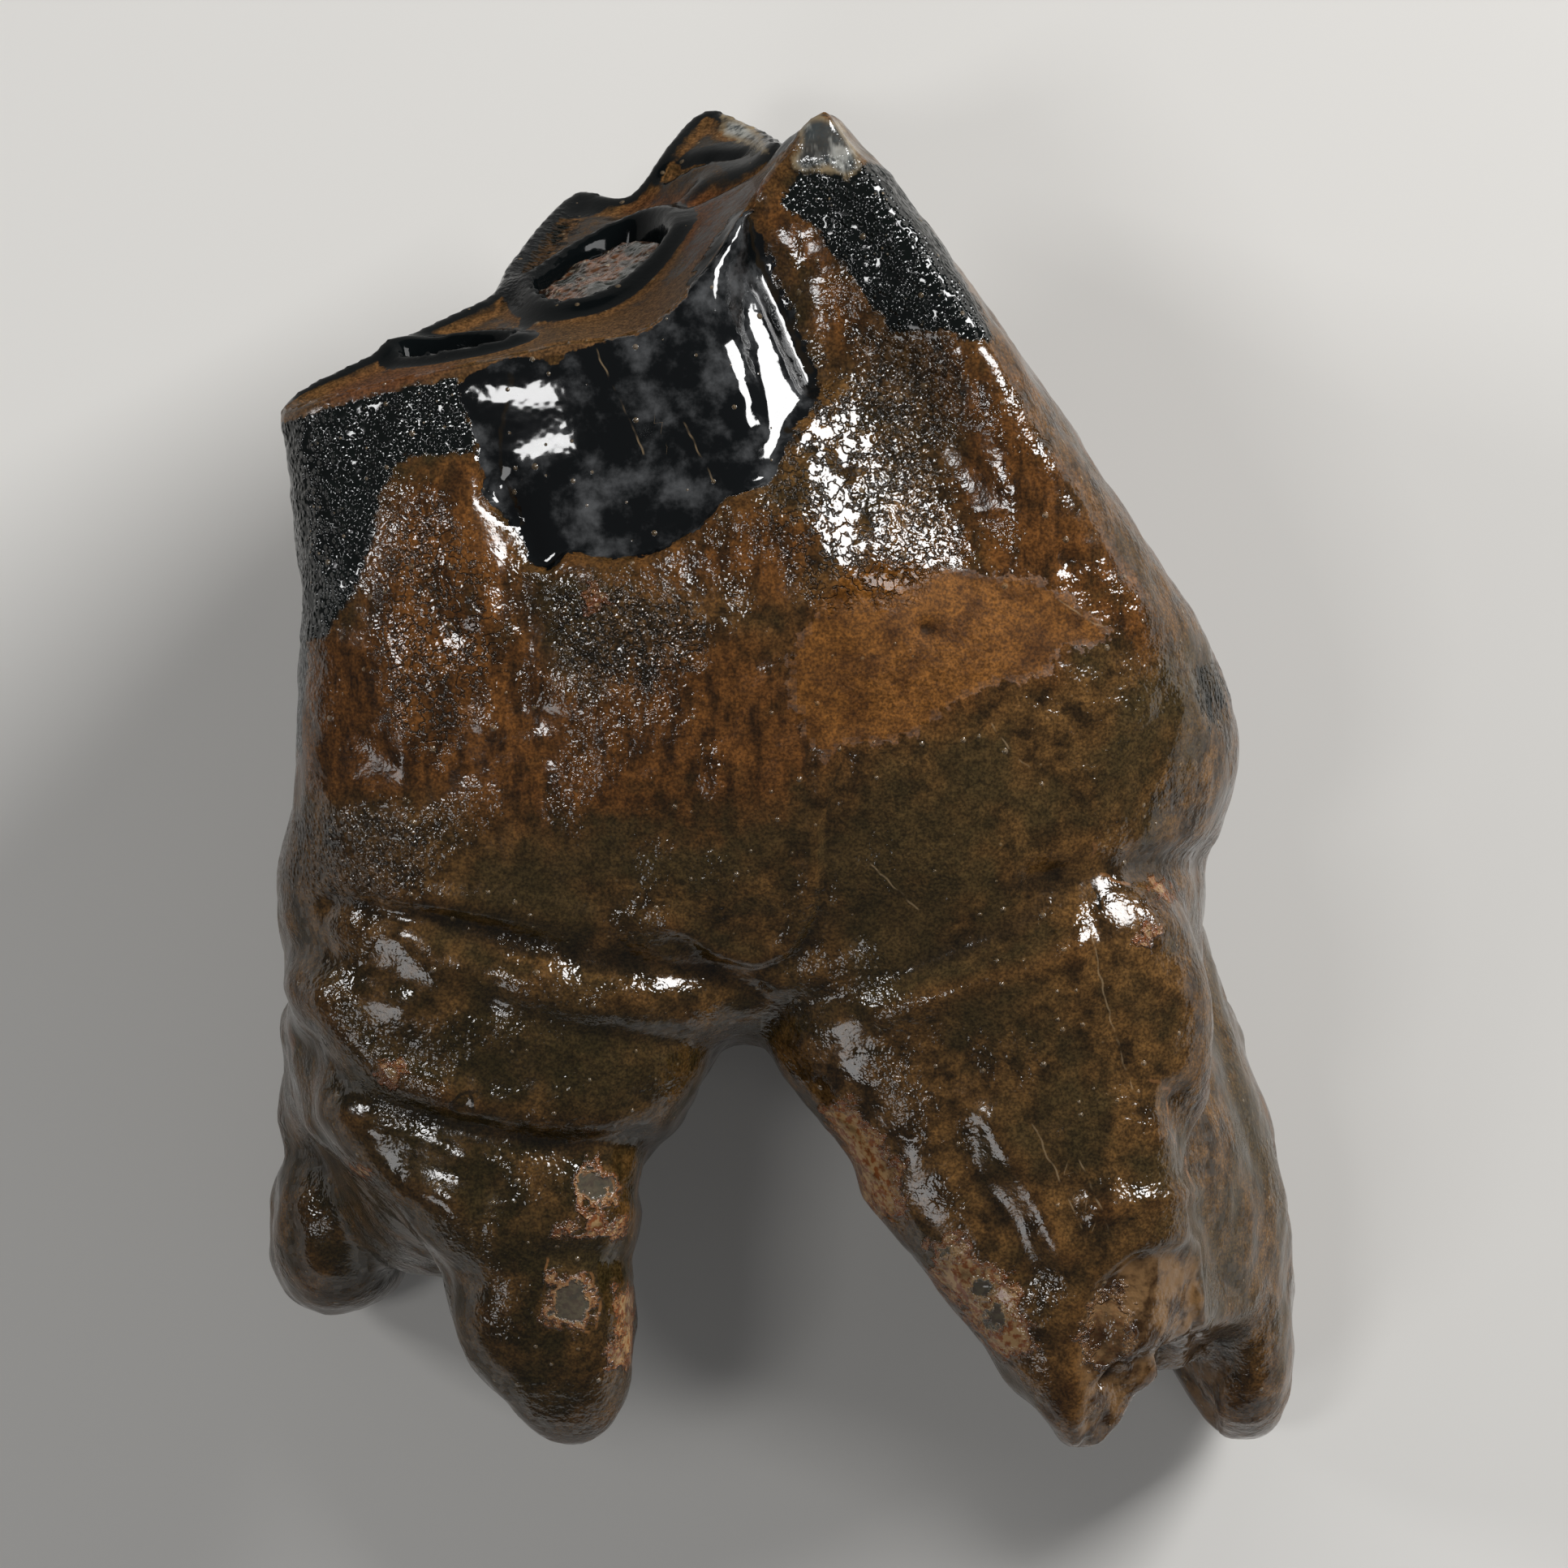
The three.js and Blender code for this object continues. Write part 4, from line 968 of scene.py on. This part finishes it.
class Nodes:
    # Short hand for laying nodes in one tree. An input is a value or another node's socket.
    def __init__(self, tree):
        self.tree = tree

    def add(self, kind, inputs=None, **settings):
        node = self.tree.nodes.new(kind)
        for name, value in settings.items():
            setattr(node, name, value)
        for name, value in (inputs or {}).items():
            if isinstance(value, bpy.types.NodeSocket):
                self.tree.links.new(value, node.inputs[name])
            else:
                node.inputs[name].default_value = value
        return node

    def math(self, operation, a, b=0.0):
        return self.add("ShaderNodeMath", {0: a, 1: b}, operation=operation).outputs[0]

    def times(self, *values):
        product = values[0]
        for value in values[1:]:
            product = self.math("MULTIPLY", product, value)
        return product

    def plus(self, a, b):
        return self.math("ADD", a, b)

    def fromMean(self, noise):
        return self.math("SUBTRACT", noise, 0.5)

    def ramp(self, value, low, high, toLow=0.0, toHigh=1.0):
        inputs = {"Value": value, "From Min": low, "From Max": high, "To Min": toLow, "To Max": toHigh}
        return self.add("ShaderNodeMapRange", inputs, interpolation_type="SMOOTHSTEP").outputs[0]

    def colour(self, share, first, second):
        # Mix of two colours, each a socket or the name of a tone in finish.
        inputs = {0: share, 6: finish.get(first, first), 7: finish.get(second, second)}
        return self.add("ShaderNodeMix", inputs, data_type="RGBA").outputs[2]

    def between(self, value, low, high, first, second):
        return self.colour(self.ramp(value, low, high), first, second)

    def blend(self, share, first, second):
        return self.add("ShaderNodeMix", {0: share, 2: first, 3: second}, data_type="FLOAT").outputs[0]

    def scaled(self, colour, factor):
        return self.add("ShaderNodeVectorMath", {0: colour, "Scale": factor}, operation="SCALE").outputs[0]

    def noise(self, spot, scale, detail, rough=0.55):
        inputs = {"Vector": spot, "Scale": scale, "Detail": detail, "Roughness": rough}
        return self.add("ShaderNodeTexNoise", inputs).outputs["Fac"]

    def cells(self, spot, scale, randomness):
        inputs = {"Vector": spot, "Scale": scale, "Randomness": randomness}
        return self.add("ShaderNodeTexVoronoi", inputs).outputs

    def attribute(self, name, kind="Fac"):
        return self.add("ShaderNodeAttribute", attribute_name=name).outputs[kind]

    def spot(self):
        # Object coordinates in millimetres.
        place = self.add("ShaderNodeTexCoord").outputs["Object"]
        return self.add("ShaderNodeVectorMath", {0: place, 1: (1000, 1000, 1000)}, operation="MULTIPLY").outputs[0]


def newGroup(name, inputs, outputs):
    # Group of named sockets, of which Spot and Field are vectors and the rest numbers.
    tree = bpy.data.node_groups.new(name, "ShaderNodeTree")
    for label in inputs:
        kind = "NodeSocketVector" if label in ("Spot", "Field") else "NodeSocketFloat"
        tree.interface.new_socket(label, in_out="INPUT", socket_type=kind)
    for label in outputs:
        tree.interface.new_socket(label, in_out="OUTPUT", socket_type="NodeSocketFloat")
    return tree, Nodes(tree), tree.nodes.new("NodeGroupInput").outputs, tree.nodes.new("NodeGroupOutput").inputs


def raggedEdge():
    # Mask from a signed distance with noise added: 1 inside, and a rim that is 1 on the edge and fades each way.
    labels = ("Spot", "Distance", "Wander", "Scale", "Softness", "Rim Width")
    tree, n, given, out = newGroup("raggedEdge", labels, ("Mask", "Rim"))
    centred = n.fromMean(n.noise(given["Spot"], given["Scale"], 3.0, 0.65))
    distance = n.plus(given["Distance"], n.times(centred, given["Wander"], 2.0))
    tree.links.new(n.ramp(distance, n.times(given["Softness"], -1.0), given["Softness"]), out["Mask"])
    away = n.math("DIVIDE", n.math("ABSOLUTE", distance), given["Rim Width"])
    tree.links.new(n.ramp(away, 0.0, 1.0, 1.0, 0.0), out["Rim"])
    return tree


def grainField():
    # Three sizes of noise for stain, mottle and fleck, and a pebbled height from the cells of a Voronoi.
    labels = ("Stain", "Mottle", "Fleck", "Pebble")
    tree, n, given, out = newGroup("grainField", ("Spot", *labels), labels)
    for label, detail, rough in (("Stain", 3.0, 0.6), ("Mottle", 4.0, 0.62), ("Fleck", 2.0, 0.6)):
        tree.links.new(n.noise(given["Spot"], given[label], detail, rough), out[label])
    cells = n.cells(given["Spot"], given["Pebble"], 0.9)
    tree.links.new(n.ramp(cells["Distance"], 0.0, 0.68, 1.0, 0.0), out["Pebble"])
    return tree


def glints():
    # Sparse round beads: a Voronoi's nearest distance under a radius that its cell's own colour sets.
    tree, n, given, out = newGroup("glints", ("Spot", "Scale", "Radius"), ("Mask", "Height"))
    cells = n.cells(given["Spot"], given["Scale"], 1.0)
    chance = n.add("ShaderNodeSeparateColor", {0: cells["Color"]}).outputs[0]
    radius = n.times(chance, given["Radius"], given["Scale"])
    inward = n.math("DIVIDE", cells["Distance"], n.math("MAXIMUM", radius, 0.001))
    tree.links.new(n.ramp(inward, 1.0, 0.7), out["Mask"])
    tree.links.new(n.times(n.ramp(inward, 1.0, 0.0), radius), out["Height"])
    return tree


def hairline():
    # Thin line where the distance across is under half its width, broken up by noise along it.
    tree, n, given, out = newGroup("hairline", ("Spot", "Field", "Width", "Wander", "Gaps"), ("Mask",))
    parts = n.add("ShaderNodeSeparateXYZ", {0: given["Field"]}).outputs
    shift = n.times(n.fromMean(n.noise(given["Spot"], 1.3, 0.0)), given["Wander"])
    across = n.math("DIVIDE", n.math("ABSOLUTE", n.plus(parts[0], shift)), given["Width"])
    whole = n.times(n.ramp(across, 1.0, 0.4), n.ramp(parts[1], 0.2, 0.0), n.ramp(parts[2], 1.6, 1.2))
    kept = n.ramp(n.noise(given["Spot"], 0.9, 1.0), given["Gaps"], 0.6)
    tree.links.new(n.times(whole, kept), out["Mask"])
    return tree


groups = {"raggedEdge": raggedEdge(), "grainField": grainField(), "glints": glints(), "hairline": hairline()}


def place(n, group, **inputs):
    named = {name.replace("_", " "): value for name, value in inputs.items()}
    return n.add("ShaderNodeGroup", named, node_tree=groups[group]).outputs


def newMaterial(name, **fixed):
    made = bpy.data.materials.new(name)
    made.use_nodes = True
    shader = made.node_tree.nodes["Principled BSDF"]
    for label, value in fixed.items():
        shader.inputs[label.replace("_", " ")].default_value = value
    return made, Nodes(made.node_tree), shader


def wire(n, shader, height, **sockets):
    # What changes over the surface goes into the shader, the height through a bump, in millimetres.
    bump = n.add("ShaderNodeBump", {"Strength": 1.0, "Distance": mm, "Height": height})
    for label, socket in {**sockets, "Normal": bump.outputs[0]}.items():
        n.tree.links.new(socket, shader.inputs[label.replace("_", " ")])


def toothMaterial(name, shine):
    # Tones laid over each other from the cement up, each let through by its area's mask and by noise.
    material, n, shader = newMaterial(name, IOR=1.6, Specular_IOR_Level=shine, Coat_IOR=1.55, Coat_Roughness=0.05)
    spot = n.spot()
    at = {area: n.attribute(area) for area in surface}
    grain = place(n, "grainField", Spot=spot, Stain=0.13, Mottle=0.6, Fleck=2.3, Pebble=2.7)
    stain, mottle, fleck, pebble = (grain[label] for label in ("Stain", "Mottle", "Fleck", "Pebble"))
    drawnOut = n.add("ShaderNodeMapping", {"Vector": spot, "Scale": (1.0, 0.3, 1.0)}).outputs[0]
    streaks = n.noise(drawnOut, 1.1, 3.0, 0.65)
    beads = place(n, "glints", Spot=spot, Scale=0.85, Radius=0.22)
    mask, border = {"beads": beads["Mask"]}, {}
    for area, (wander, scale, softness, rimWidth) in borders.items():
        edge = place(
            n, "raggedEdge", Spot=spot, Distance=at[area],
            Wander=wander, Scale=scale, Softness=softness, Rim_Width=rimWidth,
        )
        mask[area], border[area] = edge["Mask"], edge["Rim"]
    for line, (width, wander, gaps) in lines.items():
        field = n.attribute(line, "Vector")
        mask[line] = place(n, "hairline", Spot=spot, Field=field, Width=width, Wander=wander, Gaps=gaps)["Mask"]

    def paint(tone, *shares):
        nonlocal colour
        colour = n.colour(n.times(*shares), colour, tone)

    # Dark cement, stained olive, with warm tones in broken patches.
    colour = n.between(mottle, 0.34, 0.64, "cementDark", "cementMid")
    paint("cementOlive", n.ramp(stain, 0.44, 0.62), 0.8)
    paint("cementCool", at["cool"], n.ramp(mottle, 0.3, 0.7, 0.8, 0.3))
    paint(n.between(streaks, 0.34, 0.62, "warmDeep", "warm"), mask["warm"], n.ramp(mottle, 0.25, 0.5, 0.55, 1.0))
    paint(n.between(mottle, 0.34, 0.62, "brightDeep", "bright"), mask["bright"], 0.9)
    # Dark tone over the dark patch and the bottom band, and painted shade over the trough beside the column.
    paint(n.between(fleck, 0.48, 0.66, "dark", "darkLight"), mask["dark"], n.ramp(streaks, 0.32, 0.55, 0.95, 0.45))
    # Painted highlight, paler where it stands out, and painted shade, darker in what lies deep.
    paint("warm", n.ramp(at["bulge"], 0.06, 0.5, 0.0, 0.3))
    paint("paintedShade", n.ramp(at["bulge"], -0.04, -0.45, 0.0, 0.75))
    shade = n.times(n.ramp(fleck, 0.3, 0.7, 0.76, 1.24), n.ramp(n.noise(spot, 6.0, 1.0), 0.3, 0.7, 0.6, 1.4))
    colour = n.scaled(colour, shade)
    # Crackled varnish: curled grooves where a noise passes its mean, darkened with painted shade.
    off = n.math("ABSOLUTE", n.fromMean(n.noise(spot, 1.3, 2.0, 0.6)))
    curls = n.times(n.ramp(off, 0.0, 0.05, 1.0, 0.0), mask["sparkle"])
    paint("paintedShade", curls, 0.75)
    # Crusts: pale scale with an orange border, and grey middles; and the broken root's bare end.
    paint(n.between(fleck, 0.4, 0.56, "crustOrange", "crust"), mask["crust"], n.ramp(mottle, 0.36, 0.54, 0.4, 0.95))
    paint("core", mask["core"], 0.85)
    paint("crust", border["core"], n.ramp(streaks, 0.36, 0.6))
    paint("crustOrange", border["crust"], 0.5)
    paint(n.between(mottle, 0.36, 0.6, "warmDeep", "broken"), mask["broken"], 0.85)
    # Granular enamel: pebbles in black, some with tan tips.
    gritTone = n.between(pebble, 0.55, 1.0, "grit", "gritLight")
    tanTips = n.times(n.ramp(mottle, 0.55, 0.7), n.ramp(pebble, 0.7, 1.0), 0.7)
    paint(n.colour(tanTips, gritTone, "scratch"), mask["grit"])
    # Chewing surface: dentine in fine layers, black enamel, dark pocket walls, pale worn tips.
    layerSpot = n.add("ShaderNodeCombineXYZ", {"X": n.times(at["rim"], 4.0), "Y": stain}).outputs[0]
    dentine = n.between(n.noise(layerSpot, 1.8, 2.0), 0.36, 0.64, "dentineDeep", "dentine")
    dentine = n.colour(n.times(mask["red"], 0.7), dentine, "dentineRed")
    paint(n.scaled(dentine, shade), mask["rim"])
    paint("grit", mask["black"], n.ramp(streaks, 0.36, 0.6, 1.0, 0.55))
    paint("enamel", mask["enamel"])
    paint("grit", mask["pocket"])
    paleTone = n.between(streaks, 0.4, 0.6, "paleDeep", "pale")
    paleTone = n.colour(n.ramp(at["pale"], 0.5, 0.0), paleTone, "paleTan")
    paint(paleTone, mask["pale"], n.ramp(mottle, 0.3, 0.6, 0.6, 1.0))
    # Glossy enamel, black with grey cloud, and over everything the hair-thin marks and the beads, whose domes catch
    # real light and which also carry a pale painted glint.
    paint(n.between(n.noise(spot, 0.32, 5.0, 0.64), 0.46, 0.76, "gloss", "glossCloud"), mask["gloss"])
    for mark, (markTone, share) in marks.items():
        paint(markTone, mask[mark], share)

    rough = n.ramp(mottle, 0.36, 0.6, 0.06, 0.17)
    for area, value in roughnesses.items():
        rough = n.blend(mask[area], rough, value)

    # The height is a sum of grains, which grit, dentine and glossy enamel take the place of.
    lively = n.ramp(n.noise(spot, 0.22, 0.0), 0.46, 0.62, 0.03, 0.16)
    height = n.plus(n.times(fleck, bumps["fleck"]), n.times(n.noise(spot, 1.7, 2.0, 0.6), lively))
    height = n.plus(height, n.times(pebble, mask["dark"], bumps["dark"]))
    height = n.plus(height, n.times(curls, bumps["curls"]))
    height = n.plus(height, n.times(n.noise(spot, 0.8, 1.0), mask["sparkle"], bumps["sparkle"]))
    height = n.plus(height, n.times(n.math("MAXIMUM", border["crust"], border["core"]), bumps["crustRim"]))
    height = n.blend(mask["grit"], height, n.times(pebble, bumps["grit"]))
    height = n.blend(mask["rim"], height, n.times(fleck, bumps["dentine"]))
    height = n.plus(height, n.times(pebble, mask["black"], bumps["black"]))
    swell = n.ramp(n.add("ShaderNodeSeparateXYZ", {0: spot}).outputs[0], -9.0, -3.0, 0.04, 0.16)
    waves = n.plus(n.times(n.noise(spot, 2.2, 0.0), bumps["glossRipple"]), n.times(n.noise(spot, 0.4, 1.0), swell))
    height = n.blend(mask["gloss"], height, waves)
    height = n.plus(height, n.times(beads["Height"], bumps["beads"]))
    coat = n.ramp(mask["enamel"], 0.0, 1.0, 0.0, 0.1)
    wire(n, shader, height, Base_Color=colour, Roughness=rough, Coat_Weight=coat)
    return material


def fillMaterial():
    # Brown crumbs with pale and glassy grains.
    material, n, shader = newMaterial("pocket_cement", IOR=1.52)
    grain = place(n, "grainField", Spot=n.spot(), Stain=0.3, Mottle=0.8, Fleck=2.4, Pebble=1.8)
    colour = n.between(grain["Mottle"], 0.4, 0.6, "crumb", "crumbWarm")
    colour = n.between(grain["Fleck"], 0.58, 0.7, colour, "crumbPale")
    colour = n.between(grain["Stain"], 0.5, 0.62, colour, "crumbGrey")
    height = n.plus(n.times(grain["Pebble"], 0.16), n.times(grain["Fleck"], 0.08))
    rough = n.ramp(grain["Fleck"], 0.3, 0.7, 0.1, 0.35)
    wire(n, shader, height, Base_Color=colour, Roughness=rough)
    return material


# One finish in four degrees of shine: the varnish thins toward the steep sides and the bare bright cement.
shines = {
    "varnished_fossil_tooth": 0.4, "worn_chewing_surface": 0.005, "thin_varnish": 0.24, "bare_cement": 0.1,
}
for name, shine in shines.items():
    tooth.data.materials.append(toothMaterial(name, shine))
thin = smoothStep(1 - pointNormals(points, quads)[:, 2], 0.2, 0.7)
thin = np.maximum(thin, smoothStep(field["bright"], -0.1, 0.5))
scatter = 0.16  # how far a face's share strays, so that no line shows between two degrees
thin = thin[quads].mean(1) + np.random.default_rng(7).uniform(-scatter, scatter, len(quads))
kind = np.where(thin > 0.66, 3, np.where(thin > 0.33, 2, 0))
kind[rim[quads].min(1) > 0.15] = 1
tooth.data.polygons.foreach_set("material_index", kind.astype(np.int32))
cementFinish = fillMaterial()
for fill in fills.values():
    fill.data.materials.append(cementFinish)
print("finishes made")

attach(tooth, "root")
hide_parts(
    "crown", "root_trunk", "root_rear_cheek", "root_rear_tongue", "root_front_cheek", "root_front_tongue",
)
for name, fill in fills.items():
    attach(fill, "root")
    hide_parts("pocket_fill_" + name)

# Floor, light and camera.
studio = {
    "floor": 1.6,
    "floorTone": tone(205, 203, 199),
    "world": tone(150, 152, 156),
    "worldLight": 0.3,
    # Each softbox: where it stands and its size, in metres, and its power in watts.
    "softboxes": [
        ((0.41, 0.32, 0.34), (0.25, 0.29), 5.2),
        ((-0.18, -0.05, 0.60), (0.07, 0.12), 0.5),
        ((-0.42, 0.16, 0.34), (0.10, 0.12), 0.7),
        ((-0.34, -0.36, 0.42), (0.18, 0.18), 0.4),
    ],
    "lens": 213.51,
}


def floorPlane(size):
    # Square sheet on the level z = 0.
    half = size / 2
    spots = np.array([(-half, -half, 0), (half, -half, 0), (half, half, 0), (-half, half, 0)])
    made = meshObject("studio_floor", spots, np.array([[0, 1, 2, 3]]))
    made.data.materials.append(newMaterial("studio_floor", Roughness=0.75, Base_Color=studio["floorTone"])[0])


def softbox(name, where, size, power):
    light = bpy.data.lights.new(name, "AREA")
    light.shape = "RECTANGLE"
    light.size, light.size_y = size
    light.energy = power
    made = bpy.data.objects.new(name, light)
    made.location = where
    made.rotation_euler = (-made.location).to_track_quat("-Z", "Y").to_euler()
    bpy.context.scene.collection.objects.link(made)


floorPlane(studio["floor"])
for index, (where, size, power) in enumerate(studio["softboxes"]):
    softbox("softbox_%d" % index, where, size, power)
world = bpy.data.worlds.new("studio")
world.use_nodes = True
backdrop = world.node_tree.nodes["Background"].inputs
backdrop["Color"].default_value = studio["world"]
backdrop["Strength"].default_value = studio["worldLight"]
bpy.context.scene.world = world
bpy.context.scene.view_settings.view_transform = "Standard"

lens = bpy.data.cameras.new("camera")
lens.lens = studio["lens"]
camera = bpy.data.objects.new("camera", lens)
camera.location = (*(rowShift[:2] * mm), skin["eye"] * mm)
bpy.context.scene.collection.objects.link(camera)
bpy.context.scene.camera = camera
print("studio set")

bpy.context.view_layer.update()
